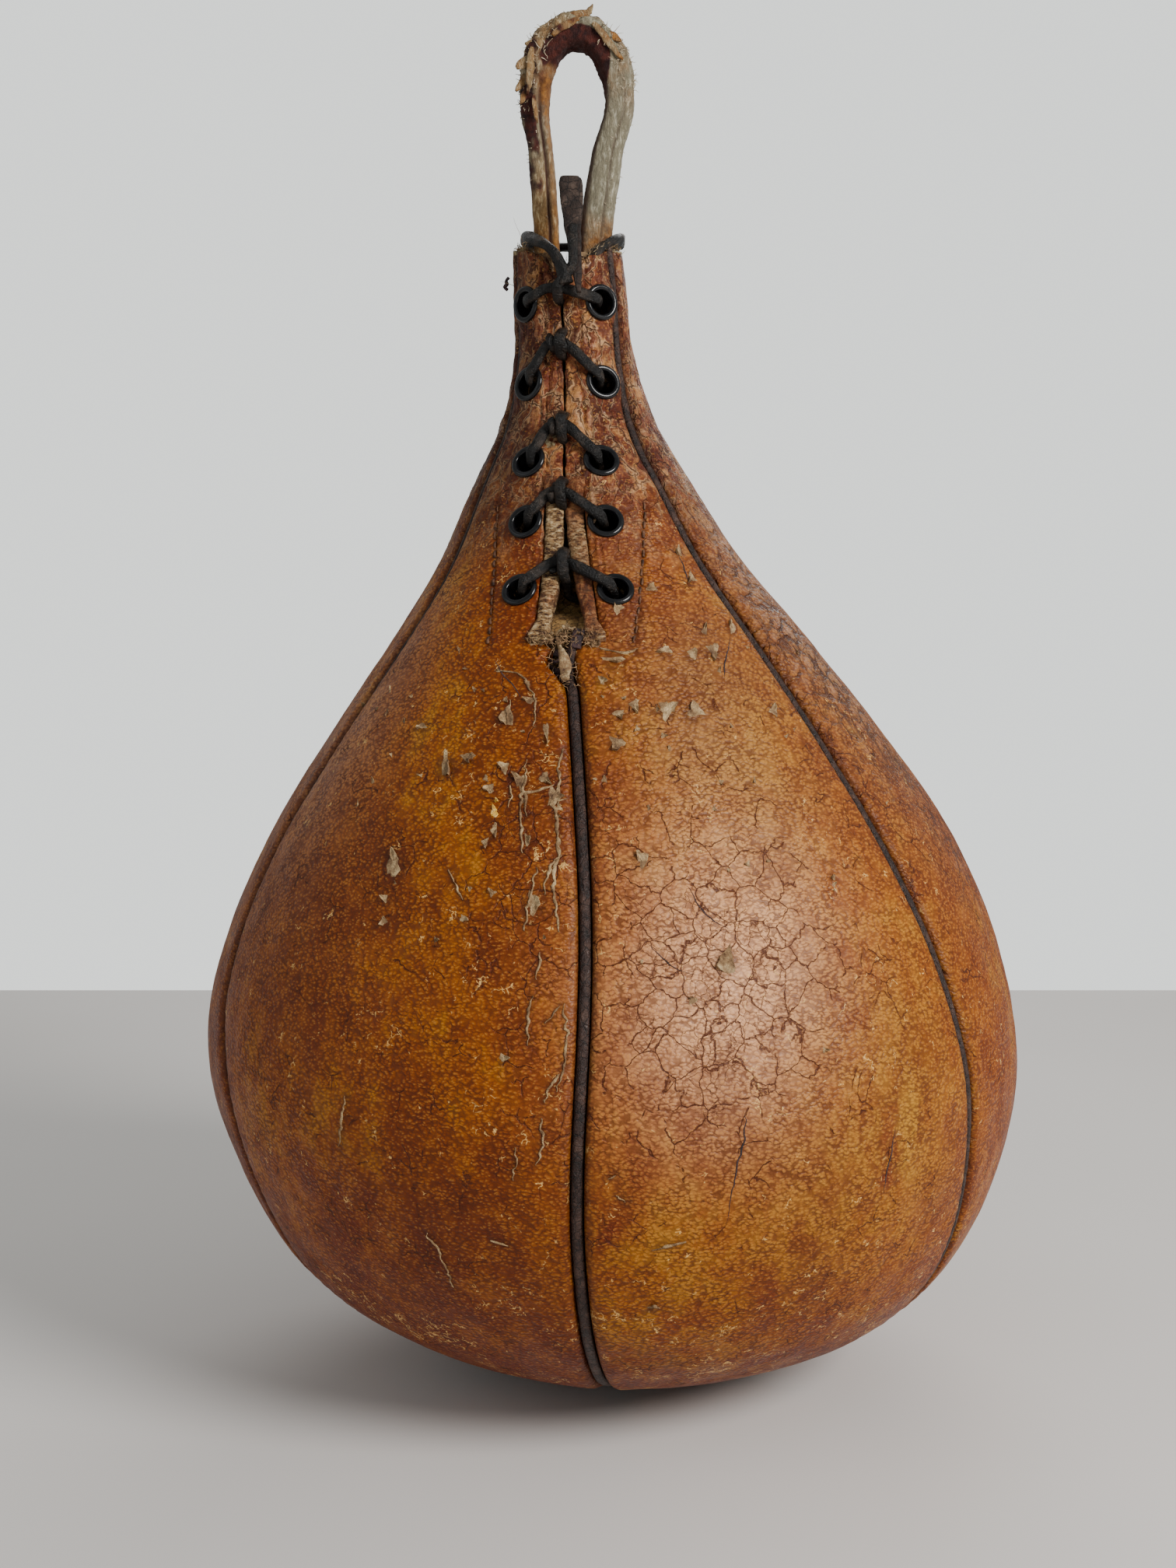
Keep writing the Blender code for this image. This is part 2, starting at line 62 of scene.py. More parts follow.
PROFILE = [
    (26, 0), (40, 5), (72, 18), (94.5, 38), (107, 64), (112, 94), (106, 124), (93.5, 152),
    (76.5, 178), (59, 202), (43, 224), (31, 246), (21.5, 264), (16.6, 282), (15.5, 298), (14.8, 311),
]
TIP_RADIUS = 12.2
MOUTH_Z = 311.0
SLIT_FOOT_Z = 206.0
LEAN = [(0, 6), (50, 2.5), (100, -0.5), (150, -0.5), (200, -3), (250, -8.5), (311, -12.5)]
SEAMS = {
    "front": [(0, -7), (60, -6), (110, -4), (150, -4.5), (190, -7), (206, -9), (284, -9.5), (311, -8)],
    "right": [
        (0, 58), (36, 57), (78, 54), (110, 52), (150, 48), (190, 46), (240, 43), (262, 41.5), (290, 54),
        (311, 57),
    ],
    "back_right": [(0, 118), (100, 114), (200, 108), (262, 104), (290, 113), (311, 114)],
    "back": [(0, 177), (100, 174), (200, 172), (311, 173)],
    "back_left": [(0, 237), (100, 234), (200, 232), (311, 233)],
    "left": [(0, 296), (85, 296), (115, 291), (148, 289), (200, 292), (250, 296), (290, 285), (311, 283)],
}
GORES = [
    ("panel_front_right", "front", "right"),
    ("panel_right", "right", "back_right"),
    ("panel_back_right", "back_right", "back"),
    ("panel_back_left", "back", "back_left"),
    ("panel_left", "back_left", "left"),
    ("panel_front_left", "left", "front"),
]
HEXAGON_SHARE = 0.25
HEXAGON_FADE = (8, 86)
LEATHER = 2.4
SLIT = [(206, 8.4), (226.5, 6.0), (243.5, 4.8), (262.5, 3.8), (284, 3.4), (311, 3.4)]
EYELET_ROWS = [
    (295, 10.8, 3.2), (273.3, 10.4, 10.3), (251.6, 9.8, 9.0), (235.4, 10.6, 7.0), (217.5, 12.5, 6.2),
]
LACE_INSIDE = 7.8

# ---------------------------------------------------------------- numbers and shapes


def ease(value, start, end):
    t = np.clip((value - start) / (end - start), 0, 1)
    return t * t * (3 - 2 * t)


def bell(value, middle, width):
    return np.exp(-(((value - middle) / width) ** 2))


def patches(u, z, *spots):
    """Soft spots added up, each (strength, place along u, its width, height, tallness)."""
    return sum(much * bell(u, at, wide) * bell(z, height, tall) for much, at, wide, height, tall in spots)


def angles(count):
    return np.linspace(0, 2 * math.pi, count, endpoint=False)


def circle(count):
    """Cosines and sines of evenly spaced angles."""
    return np.cos(angles(count)), np.sin(angles(count))


def curve_through(points, spans=12):
    """Catmull-Rom curve through the points, as an array."""
    p = np.array(points, float)
    p = np.vstack([2 * p[0] - p[1], p, 2 * p[-1] - p[-2]])
    t = np.arange(spans)[:, None] / spans
    runs = []
    for a, b, c, d in zip(p, p[1:], p[2:], p[3:]):
        square, cube = 2 * a - 5 * b + 4 * c - d, 3 * b - a - 3 * c + d
        runs.append(b + 0.5 * ((c - a) * t + square * t ** 2 + cube * t ** 3))
    return np.vstack([*runs, p[-2:-1]])


def reading(table, z):
    """Smooth reading of a (height, value) table."""
    curve = curve_through(table)
    return np.interp(z, curve[:, 0], curve[:, 1])


def noise(places, size, seed=0, octaves=3):
    """Smooth noise, -1 to 1, whose lumps are about size across."""
    q = np.asarray(places, float) / size + 31.7 * seed
    total, loud = 0.0, 1.0
    for _ in range(octaves):
        cell = np.floor(q).astype(np.int64)
        f = q - cell
        f = f * f * (3 - 2 * f)
        value = 0.0
        for corner in itertools.product((0, 1), repeat=3):
            c = cell + corner
            h = (c[..., 0] * 73856093) ^ (c[..., 1] * 19349663) ^ (c[..., 2] * 83492791)
            h = ((h ^ (h >> 13)) * 1274126177) & 0xFFFFFFFF
            h = (h ^ (h >> 16)) & 0xFFFF
            value = value + np.prod(np.where(corner, f, 1 - f), axis=-1) * (h / 32767.5 - 1)
        total = total + loud * value
        loud *= 0.5
        q = q * 2.03 + 5.1
    return total / (2 - 2 * loud)


# The profile as a dense curve, by its arc length from the edge of the hole at the bottom.
OUTLINE = np.vstack([[(TIP_RADIUS, 0.0)], curve_through(PROFILE, 40)])
STEPS = np.diff(OUTLINE, axis=0)
ARC = np.concatenate([[0], np.cumsum(np.hypot(*STEPS.T))])
ARC_END = ARC[-1]
SLOPES = np.vstack([STEPS, STEPS[-1]])
SLOPES = SLOPES / np.hypot(*SLOPES.T)[:, None]


def arc_at(z):
    return np.interp(z, OUTLINE[1:, 1], ARC[1:])


def skin(s, azimuth, depth=0.0, share=0.0):
    """Points of the skin, s being the arc length up the profile and share 0 to 1 across a gore."""
    s, azimuth, depth, share = np.broadcast_arrays(s, azimuth, depth, share)
    r, z = np.interp(s, ARC, OUTLINE[:, 0]), np.interp(s, ARC, OUTLINE[:, 1])
    slope_r, slope_z = np.interp(s, ARC, SLOPES[:, 0]), np.interp(s, ARC, SLOPES[:, 1])
    flat = HEXAGON_SHARE * (1 - ease(z, *HEXAGON_FADE))
    r = r * (1 - flat + flat * math.cos(math.pi / 6) / np.cos(np.radians((share - 0.5) * 60)))
    turn = np.radians(azimuth)
    out = r - depth * slope_z
    return np.stack([reading(LEAN, z) + out * np.sin(turn), -out * np.cos(turn), z + depth * slope_r], -1)


def radius_at(s):
    return np.interp(s, ARC, OUTLINE[:, 0])


def at_slit(x, z, depth=0.0):
    """Points x along the skin from the slit's middle line, at height z."""
    s = arc_at(z) + (np.asarray(z, float) - np.minimum(z, MOUTH_Z))
    return skin(s, reading(SEAMS["front"], z) + np.degrees(x / radius_at(s)), depth)


def unit(v):
    return v / np.maximum(np.linalg.norm(v, axis=-1, keepdims=True), 1e-9)


def slit_frame(x, z):
    """Centre, and the directions across, up and out of the skin at a place beside the slit."""
    centre = at_slit(x, z)
    across = unit(at_slit(x + 0.5, z) - at_slit(x - 0.5, z))
    up = unit(at_slit(x, z + 0.5) - at_slit(x, z - 0.5))
    out = unit(np.cross(across, up))
    return centre, across, np.cross(out, across), out


def grid_faces(rows, columns, start=0, wrap=False):
    a = start + np.arange(rows * columns).reshape(rows, columns)
    b = np.roll(a, -1, axis=1)
    quads = np.stack([a[:-1], b[:-1], b[1:], a[1:]], -1)
    return (quads if wrap else quads[:, :-1]).reshape(-1, 4).tolist()


class Soup:
    """Points and faces gathered for one mesh."""

    def __init__(self):
        self.verts, self.faces, self.count = [], [], 0

    def add(self, verts, faces):
        self.verts.append(np.asarray(verts, float).reshape(-1, 3))
        self.faces += [[i + self.count for i in face] for face in faces]
        self.count += len(self.verts[-1])

    def tube(self, rings):
        """A closed tube through rings of equal point count, shaped (rings, points, 3)."""
        n, k = rings.shape[:2]
        faces = grid_faces(n, k, wrap=True)
        for row, hub in ((0, n * k), (n - 1, n * k + 1)):
            faces += [(row * k + i, row * k + (i + 1) % k, hub) for i in range(k)]
        self.add(np.vstack([rings.reshape(-1, 3), rings[0].mean(0), rings[-1].mean(0)]), faces)


def put(name, data):
    made = bpy.data.objects.new(name, data)
    bpy.context.scene.collection.objects.link(made)
    return made


def new_piece(name, soup, finish, nodes=(), body="bag"):
    mesh = bpy.data.meshes.new(name)
    mesh.from_pydata((np.vstack(soup.verts) * MM).tolist(), [], soup.faces)
    bm = bmesh.new()
    bm.from_mesh(mesh)
    bmesh.ops.recalc_face_normals(bm, faces=bm.faces)
    bm.to_mesh(mesh)
    bm.free()
    mesh.materials.append(finish)
    mesh.shade_smooth()
    piece = put(name, mesh)
    if body:
        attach(piece, body)
    if nodes:
        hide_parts(*nodes)
    return piece


def paint(piece, **masks):
    """Stores numbers between 0 and 1 on the points of a piece, for its material."""
    for name, values in masks.items():
        layer = piece.data.attributes.new(name, "FLOAT", "POINT")
        layer.data.foreach_set("value", np.clip(values, 0, 1).astype(np.float32))


def points_of(piece):
    flat = np.empty(len(piece.data.vertices) * 3)
    piece.data.vertices.foreach_get("co", flat)
    return flat.reshape(-1, 3) / MM


def along_path(path, facing):
    """Directions across a flat cord and out of it, at each point of its path."""
    ahead = unit(np.gradient(path, axis=0))
    across = np.cross(ahead, facing)
    for i in range(1, len(across)):
        if np.dot(across[i], across[i - 1]) < 0:
            across[i:] *= -1
    padded = np.pad(across, ((3, 3), (0, 0)), "edge")
    across = sum(padded[i:i + len(across)] for i in range(7))
    across = unit(across - ahead * np.sum(across * ahead, -1, keepdims=True))
    return across, np.cross(across, ahead)


def thong(soup, path, half_width, half_thickness, facing=None, sides=14, twist=0.0, seed=0):
    """Adds a flat, slightly uneven leather thong. It faces out of the bag, or the way that facing says."""
    across, out = along_path(path, facing_out(path) if facing is None else np.tile(facing, (len(path), 1)))
    c, s = circle(sides)
    square = (np.abs(c) ** 3 + np.abs(s) ** 3) ** (-1 / 3)
    half_width, half_thickness, turn = (
        np.broadcast_to(v, len(path))[:, None] for v in (half_width, half_thickness, np.radians(twist))
    )
    a, b = half_width * c * square, half_thickness * s * square
    a, b = a * np.cos(turn) - b * np.sin(turn), a * np.sin(turn) + b * np.cos(turn)
    rings = path[:, None] + across[:, None] * a[..., None] + out[:, None] * b[..., None]
    bumps = 0.24 * noise(rings, 2.6, seed, 2) + 0.09 * noise(rings, 0.9, seed + 1, 1)
    soup.tube(rings + unit(rings - path[:, None]) * bumps[..., None])


# ---------------------------------------------------------------- materials


class Finish:
    """One procedural material, laid up in tints and relief. Sizes are in millimetres."""

    def __init__(self, name, **fixed):
        self.material = bpy.data.materials.new(name)
        self.material.use_nodes = True
        self.tree = self.material.node_tree
        self.shader = self.tree.nodes["Principled BSDF"]
        for socket, value in fixed.items():
            self.shader.inputs[socket.replace("_", " ")].default_value = value
        self.place = self.stretched((1000, 1000, 1000), self.node("TexCoord").outputs["Object"])
        self.colour = self.normal = None

    def node(self, kind, fed=(), **settings):
        """A new shader node with its settings made and its inputs fed."""
        made = self.tree.nodes.new("ShaderNode" + kind)
        for key, value in settings.items():
            setattr(made, key, value)
        for socket, value in dict(fed).items():
            self.feed(made.inputs[socket], value)
        return made

    def feed(self, socket, value):
        if isinstance(value, bpy.types.NodeSocket):
            self.tree.links.new(value, socket)
        elif socket.type == "RGBA":
            socket.default_value = (*value, 1)
        else:
            socket.default_value = value

    def stretched(self, factors, place=None):
        return self.node("VectorMath", {0: place or self.place, 1: factors}, operation="MULTIPLY").outputs[0]

    def warped(self, size, amount, place=None):
        """The place moved about by noise, to make straight edges wander."""
        place = place or self.place
        shift = self.node("TexNoise", {"Vector": place, "Scale": 1 / size}).outputs["Color"]
        fed = {0: shift, 1: (amount,) * 3, 2: place}
        return self.node("VectorMath", fed, operation="MULTIPLY_ADD").outputs[0]

    def math(self, operation, a, b, clamp=False):
        return self.node("Math", {0: a, 1: b}, operation=operation, use_clamp=clamp).outputs[0]

    def times(self, a, b):
        return self.math("MULTIPLY", a, b)

    def plus(self, a, b):
        return self.math("ADD", a, b)

    def cut(self, mask, depth, strength):
        """Relief that is depth millimetres deep where the mask is 1."""
        self.bump(self.math("SUBTRACT", 1.0, mask), depth, strength)

    def noise(self, size, detail=3.0, rough=0.55, place=None):
        fed = {"Vector": place or self.place, "Scale": 1 / size, "Detail": detail, "Roughness": rough}
        return self.node("TexNoise", fed).outputs["Fac"]

    def net(self, size, place, feature="DISTANCE_TO_EDGE"):
        """Distance from the lines of an uneven net, or from the middles of its meshes."""
        fed = {"Vector": place, "Scale": 1 / size}
        if feature == "SMOOTH_F1":
            fed["Smoothness"] = 0.12
        return self.node("TexVoronoi", fed, feature=feature).outputs["Distance"]

    def band(self, value, low, high, to_low=0.0, to_high=1.0):
        fed = enumerate((value, low, high, to_low, to_high))
        return self.node("MapRange", fed, interpolation_type="SMOOTHSTEP").outputs[0]

    def tint(self, factor, colour):
        """Lays a colour over the colour so far."""
        fed = {0: factor, 6: self.colour, 7: colour}
        self.colour = self.node("Mix", fed, data_type="RGBA", clamp_factor=True).outputs[2]

    def ramp(self, value, *stops):
        made = self.node("ValToRGB", {0: value})
        while len(made.color_ramp.elements) < len(stops):
            made.color_ramp.elements.new(0.5)
        for element, (place, colour) in zip(made.color_ramp.elements, stops):
            element.position = place
            element.color = (*colour, 1)
        return made.outputs[0]

    def mask(self, name):
        return self.node("Attribute", attribute_name=name).outputs["Fac"]

    def bump(self, height, depth, strength=1.0):
        """Adds relief whose full range of height is depth millimetres."""
        fed = {"Strength": strength, "Distance": depth * MM, "Height": height}
        if self.normal:
            fed["Normal"] = self.normal
        self.normal = self.node("Bump", fed).outputs[0]

    def done(self, roughness):
        self.feed(self.shader.inputs["Base Color"], self.colour)
        self.feed(self.shader.inputs["Roughness"], roughness)
        if self.normal:
            self.feed(self.shader.inputs["Normal"], self.normal)
        return self.material


def panel_leather():
    """Old oiled leather: mottled orange, ochre and red-brown, pebbled, crackled and scuffed, with painted
    sheen and painted shade.
    """
    f = Finish("old leather", Specular_IOR_Level=0.2)
    clouds = f.noise(30, 4, 0.55, f.stretched((1, 1, 0.5)))
    mottle = f.noise(7, 6, 0.68, f.stretched((1, 1, 0.7)))
    f.colour = f.ramp(
        f.plus(f.times(clouds, 0.55), f.times(mottle, 0.45)),
        (0.37, (0.13, 0.02, 0.0004)), (0.46, (0.2, 0.04, 0.0005)), (0.54, (0.28, 0.07, 0.001)),
        (0.62, (0.36, 0.13, 0.006)),
    )
    for mask, low, high, least, most, colour in (
        ("ochre", 0.35, 0.62, 0.3, 0.9, (0.38, 0.17, 0.012)),
        ("brown", 0.35, 0.62, 0.6, 1, (0.24, 0.12, 0.05)),
        ("red", 0.36, 0.6, 0.85, 0.3825, (0.125, 0.0105, 0.001)),
        # A painted highlight and painted reflection, laid on by the next mask.
        ("pink", 0.3, 0.65, 0.45, 0.95, (0.8, 0.42, 0.22)),
    ):
        f.tint(f.times(f.mask(mask), f.band(mottle, low, high, least, most)), colour)

    # The neck: patches of dark red, rose-brown and ochre, with folded wrinkles, painted shade in their
    # hollows and painted highlights on their ridges.
    neck = f.mask("neck")
    f.tint(f.times(neck, 0.85), f.ramp(
        f.noise(6.5, 5, 0.62, f.stretched((1, 1, 0.5), f.warped(8, 7))),
        (0.38, (0.03, 0.005, 0.004)), (0.47, (0.085, 0.016, 0.009)), (0.55, (0.17, 0.045, 0.019)),
        (0.63, (0.42, 0.2, 0.07)),
    ))
    upright = f.noise(2.3, 5, 0.68, f.stretched((1, 1, 0.34), f.warped(6, 6)))
    # Painted shade in the hollows of the upright wrinkles, and a painted highlight on their ridges.
    f.tint(f.times(neck, f.band(upright, 0.53, 0.62, 0, 0.75)), (0.035, 0.006, 0.003))
    f.tint(f.times(neck, f.band(upright, 0.46, 0.38, 0, 0.4)), (0.42, 0.2, 0.09))
    fold = f.net(5, f.stretched((1.3, 1.3, 0.5), f.warped(1.5, 1.4, f.warped(6, 8))))
    folded = f.times(neck, f.band(fold, 0.01, 0.05, 1, 0))
    # A painted highlight along the edges of the folds, and painted shade in them.
    rim = f.times(f.band(fold, 0.15, 0.04), f.band(mottle, 0.42, 0.56, 0, 0.7))
    f.tint(f.times(neck, rim), (0.62, 0.38, 0.2))
    f.tint(f.times(folded, 0.85), (0.03, 0.006, 0.003))
    f.bump(f.times(neck, f.band(upright, 0.4, 0.62, 1, 0)), 0.4, 0.8)
    f.cut(folded, 0.35, 0.9)

    # Pebble grain: golden tops with dark pits between them.
    grain = f.net(0.95, f.stretched((0.8, 0.8, 1.35), f.warped(2.0, 1.4)), "SMOOTH_F1")
    loud = f.times(f.band(f.noise(6, 4, 0.6), 0.35, 0.62, 0.55, 1), f.band(neck, 0, 1, 1, 0.45))
    f.tint(f.band(grain, 0.12, 0.4, 0.4, 0), (0.5, 0.22, 0.04))
    f.tint(f.times(f.band(grain, 0.36, 0.72, 0, 0.72), loud), (0.07, 0.011, 0.0005))
    f.bump(f.times(loud, f.band(grain, 0.2, 0.9, 1, 0)), 0.22, 0.9)
    f.bump(f.noise(0.5, 2), 0.05, 0.5)

    # Small pale curls of scuffed skin.
    curls = f.net(2.6, f.warped(1.6, 2.8))
    more = f.times(f.mask("curls"), f.band(f.noise(14, 3, 0.6), 0.4, 0.66, 0, 0.2))
    some = f.band(f.plus(f.noise(3.4, 5, 0.6), more), 0.655, 0.71, 0, 0.85)
    f.tint(f.times(f.band(curls, 0.01, 0.06, 1, 0), some), (0.75, 0.45, 0.15))

    # Crackle: a broken dark network, at two sizes.
    wide = f.net(8, f.warped(1.6, 1.5, f.warped(9, 6)))
    fine = f.net(3.4, f.warped(1.2, 1.1, f.warped(5, 3)))
    crackle = f.plus(f.mask("crackle"), f.band(f.noise(9, 3, 0.6), 0.34, 0.66, -0.5, 0.3))
    wide_line = f.times(f.band(wide, 0.006, 0.026, 1, 0), f.band(crackle, 0.05, 0.3))
    fine_line = f.times(f.band(fine, 0.008, 0.036, 0.7, 0), f.band(crackle, 0.5, 0.8))
    line = f.math("MAXIMUM", wide_line, fine_line)
    f.tint(f.times(line, 0.9), (0.06, 0.01, 0.002))
    f.cut(line, 0.22, 0.9)

    # Short creases, close together, with painted shade in them and a painted highlight between them.
    crease = f.net(4.4, f.stretched((1, 0.5, 0.75), f.warped(1.4, 1.7, f.warped(7, 5))))
    broken = f.times(f.mask("crease"), f.band(f.noise(5, 3, 0.6), 0.36, 0.56))
    creased = f.times(broken, f.band(crease, 0.03, 0.17, 1, 0))
    f.tint(f.times(broken, f.band(crease, 0.2, 0.45, 0, 0.4)), (0.46, 0.24, 0.14))
    f.tint(creased, (0.055, 0.016, 0.007))
    f.cut(creased, 0.8, 1.0)

    # Grime with painted shade along the seams, round the marks, down the neck's left side and inside the
    # mouth, and pale bare places where the top skin is gone.
    f.tint(f.times(f.mask("grime"), f.band(f.noise(3.2, 4, 0.7), 0.2, 0.6, 0.5, 1)), (0.04, 0.008, 0.002))
    bare = f.band(f.plus(f.mask("bare"), f.times(f.noise(1.4, 4, 0.7), 0.5)), 0.68, 0.78)
    f.tint(bare, f.ramp(f.noise(0.8, 3), (0.35, (0.17, 0.1, 0.04)), (0.65, (0.42, 0.34, 0.2))))
    f.cut(bare, 0.25, 0.8)
    return f.done(f.math("ADD", f.band(f.noise(9, 4), 0.3, 0.7, 0.4, 0.56), f.times(bare, 0.3), clamp=True))


def plain_leather(name, dark, middle, light, roughness, grain=0.6, lines=None, **fixed):
    """Leather with cloudy colour and fine grain. lines is the colour of fine dark cracks across it."""
    f = Finish(name, **fixed)
    f.colour = f.ramp(f.noise(3.4, 5, 0.7), (0.34, dark), (0.5, middle), (0.68, light))
    pits = f.noise(grain, 4, 0.65)
    f.tint(f.band(pits, 0.55, 0.72, 0, 0.7), tuple(0.35 * c for c in dark))
    f.bump(f.band(pits, 0.3, 0.7, 1, 0), 0.22, 0.8)
    if lines:
        cracks = f.band(f.net(2.4, f.warped(2, 1.6)), 0.01, 0.07, 1, 0)
        f.tint(f.times(cracks, 0.7), lines)
        f.cut(cracks, 0.12, 0.7)
    return f.done(f.band(f.noise(4, 4), 0.3, 0.7, roughness - 0.1, roughness + 0.1))


def lip_leather():
    """The raw rolled edge of the slit: pale cream to brown, crossed by ragged wrinkles with painted shade in
    their hollows and painted highlights on their ridges.
    """
    f = Finish("rolled edge", Specular_IOR_Level=0.35)
    across = f.noise(0.75, 5, 0.75, f.stretched((0.3, 0.3, 1), f.warped(3, 1.6)))
    # Pale wear, with a painted highlight on the wrinkles' ridges and painted shade in their hollows.
    wear_with_painted_light = f.ramp(across, (0.36, (0.66, 0.5, 0.29)), (0.5, (0.33, 0.18, 0.065)), (0.58, (0.08, 0.03, 0.012)))
    upright = f.noise(1.5, 5, 0.7, f.stretched((1, 1, 0.2)))
    f.colour = f.ramp(
        upright, (0.36, (0.06, 0.011, 0.003)), (0.5, (0.17, 0.045, 0.01)), (0.64, (0.4, 0.17, 0.06)),
    )
    f.tint(f.band(f.plus(f.mask("pale"), f.times(f.noise(3, 4), 0.5)), 0.5, 0.85), wear_with_painted_light)
    # Painted shade in the hollows of the wrinkles.
    f.tint(f.band(across, 0.5, 0.62, 0, 0.85), (0.03, 0.012, 0.008))
    f.tint(f.band(f.noise(2.6, 5, 0.75), 0.54, 0.62, 0, 0.75), (0.07, 0.025, 0.01))
    f.bump(f.band(across, 0.35, 0.65, 1, 0), 0.35, 0.9)
    f.bump(f.noise(1.8, 5, 0.7), 0.6, 0.8)
    return f.done(f.band(across, 0.3, 0.7, 0.55, 0.85))


def loop_leather():
    """The strap of the loop: pale and fibrous, stained red-brown and orange, with painted shade in its
    groove, along its inner side and under its arch.
    """
    f = Finish("loop strap", Specular_IOR_Level=0.3)
    strands = f.noise(0.8, 5, 0.75, f.stretched((1, 1, 0.22), f.warped(5, 2.2)))
    f.colour = f.ramp(
        strands, (0.34, (0.13, 0.06, 0.02)), (0.5, (0.38, 0.22, 0.08)), (0.62, (0.62, 0.46, 0.24)),
    )
    grey = f.ramp(strands, (0.3, (0.1, 0.085, 0.055)), (0.5, (0.27, 0.24, 0.16)), (0.66, (0.46, 0.43, 0.33)))
    f.tint(f.mask("grey"), grey)
    blots = f.noise(6, 5, 0.7)
    orange = f.ramp(f.noise(2.6, 5, 0.7), (0.4, (0.16, 0.05, 0.01)), (0.6, (0.42, 0.17, 0.03)))
    f.tint(f.times(f.mask("rust"), f.band(blots, 0.36, 0.58, 0.45, 0.95)), orange)
    wine = f.ramp(f.noise(2.2, 4), (0.4, (0.022, 0.004, 0.004)), (0.62, (0.085, 0.016, 0.01)))
    # Wine-dark stains, with painted shade under the arch.
    f.tint(f.band(f.plus(f.mask("stain"), f.times(blots, 0.6)), 0.5, 0.95), wine)
    # Painted shade in the groove and along the strap's inner side.
    f.tint(f.times(f.mask("groove"), 0.92), (0.05, 0.012, 0.008))
    f.bump(f.band(strands, 0.35, 0.65, 1, 0), 0.4, 0.9)
    f.bump(f.noise(0.4, 2), 0.08, 0.6)
    return f.done(f.band(strands, 0.3, 0.7, 0.65, 0.9))


def black_enamel():
    """Black enamel on the eyelets, rubbed through to grey metal here and there."""
    f = Finish("black enamel", Coat_Weight=0.25, Coat_Roughness=0.1, Specular_IOR_Level=0.2)
    f.colour = f.ramp(f.noise(3, 3), (0.35, (0.003, 0.003, 0.004)), (0.7, (0.008, 0.008, 0.009)))
    f.tint(f.band(f.noise(1.1, 5, 0.75), 0.64, 0.74, 0, 0.6), (0.07, 0.06, 0.05))
    f.bump(f.noise(0.7, 3), 0.04, 0.5)
    return f.done(f.band(f.noise(1.8, 4), 0.3, 0.7, 0.14, 0.32))


def fibre(name, pale, dark):
    f = Finish(name, Specular_IOR_Level=0.25)
    f.colour = f.ramp(f.noise(2.5, 4, 0.7), (0.38, dark), (0.6, pale))
    f.bump(f.noise(0.3, 2), 0.03, 0.5)
    return f.done(f.band(f.noise(1, 2), 0.3, 0.7, 0.7, 0.9))


def twine_fibre():
    """Twisted cord: slanting ridges and a few loose dark strands."""
    f = Finish("twine", Specular_IOR_Level=0.3)
    wave = f.node("TexWave", {"Vector": f.place, "Scale": 0.4}, bands_direction="DIAGONAL")
    f.colour = f.ramp(f.noise(0.9, 4, 0.7), (0.35, (0.2, 0.15, 0.09)), (0.65, (0.5, 0.42, 0.3)))
    f.bump(wave.outputs["Fac"], 0.25, 0.8)
    return f.done(f.band(f.noise(1, 2), 0.3, 0.7, 0.75, 0.92))


PANEL = panel_leather()
LIP = lip_leather()
LOOP = loop_leather()
ENAMEL = black_enamel()
TWINE = twine_fibre()
WELT = plain_leather(
    "welt leather", (0.01, 0.004, 0.003), (0.03, 0.013, 0.009), (0.075, 0.038, 0.026), 0.48,
    grain=0.8, lines=(0.002, 0.001, 0.001), Specular_IOR_Level=0.35,
)
LACE = plain_leather(
    "lace leather", (0.0015, 0.001, 0.001), (0.004, 0.003, 0.0025), (0.04, 0.028, 0.021), 0.34,
    Specular_IOR_Level=0.3,
)
TAB = plain_leather(
    "lace end", (0.01, 0.005, 0.004), (0.025, 0.014, 0.01), (0.07, 0.045, 0.033), 0.62,
    grain=0.7, lines=(0.003, 0.002, 0.002), Specular_IOR_Level=0.3,
)
TONGUE = plain_leather(
    "tongue leather", (0.1, 0.045, 0.012), (0.28, 0.15, 0.045), (0.45, 0.28, 0.1), 0.7,
    grain=0.8, lines=(0.02, 0.01, 0.004),
)
RAW, TORN, DARK_TORN, BARE, YELLOW, RUBBER = (plain_leather(*look) for look in (
    ("raw leather", (0.09, 0.05, 0.022), (0.2, 0.115, 0.05), (0.38, 0.25, 0.13), 0.85, 0.7),
    ("torn leather", (0.08, 0.03, 0.015), (0.27, 0.16, 0.07), (0.56, 0.44, 0.26), 0.8),
    ("dark torn leather", (0.006, 0.002, 0.003), (0.03, 0.01, 0.012), (0.09, 0.04, 0.035), 0.6),
    ("bare flakes", (0.09, 0.04, 0.014), (0.26, 0.155, 0.07), (0.58, 0.42, 0.22), 0.85),
    ("yellow flakes", (0.3, 0.12, 0.01), (0.75, 0.42, 0.04), (0.85, 0.75, 0.5), 0.6),
    ("bladder rubber", (0.1, 0.02, 0.012), (0.2, 0.045, 0.025), (0.28, 0.08, 0.05), 0.7, 2.0),
))
PALE_FIBRE, THREAD, TORN_FIBRE = (fibre(*look) for look in (
    ("pale fibre", (0.6, 0.5, 0.36), (0.28, 0.2, 0.12)),
    ("waxed thread", (0.16, 0.075, 0.04), (0.03, 0.014, 0.01)),
    ("torn fibre", (0.46, 0.29, 0.15), (0.1, 0.045, 0.025)),
))

# ---------------------------------------------------------------- camera, light and floor

CAMERA_PLACE = (-0.0069, -0.550, 0.212)
CAMERA_PITCH = 85
CAMERA_LENS = 45
LAMPS_AIM = Vector((0, 0, 0.14))
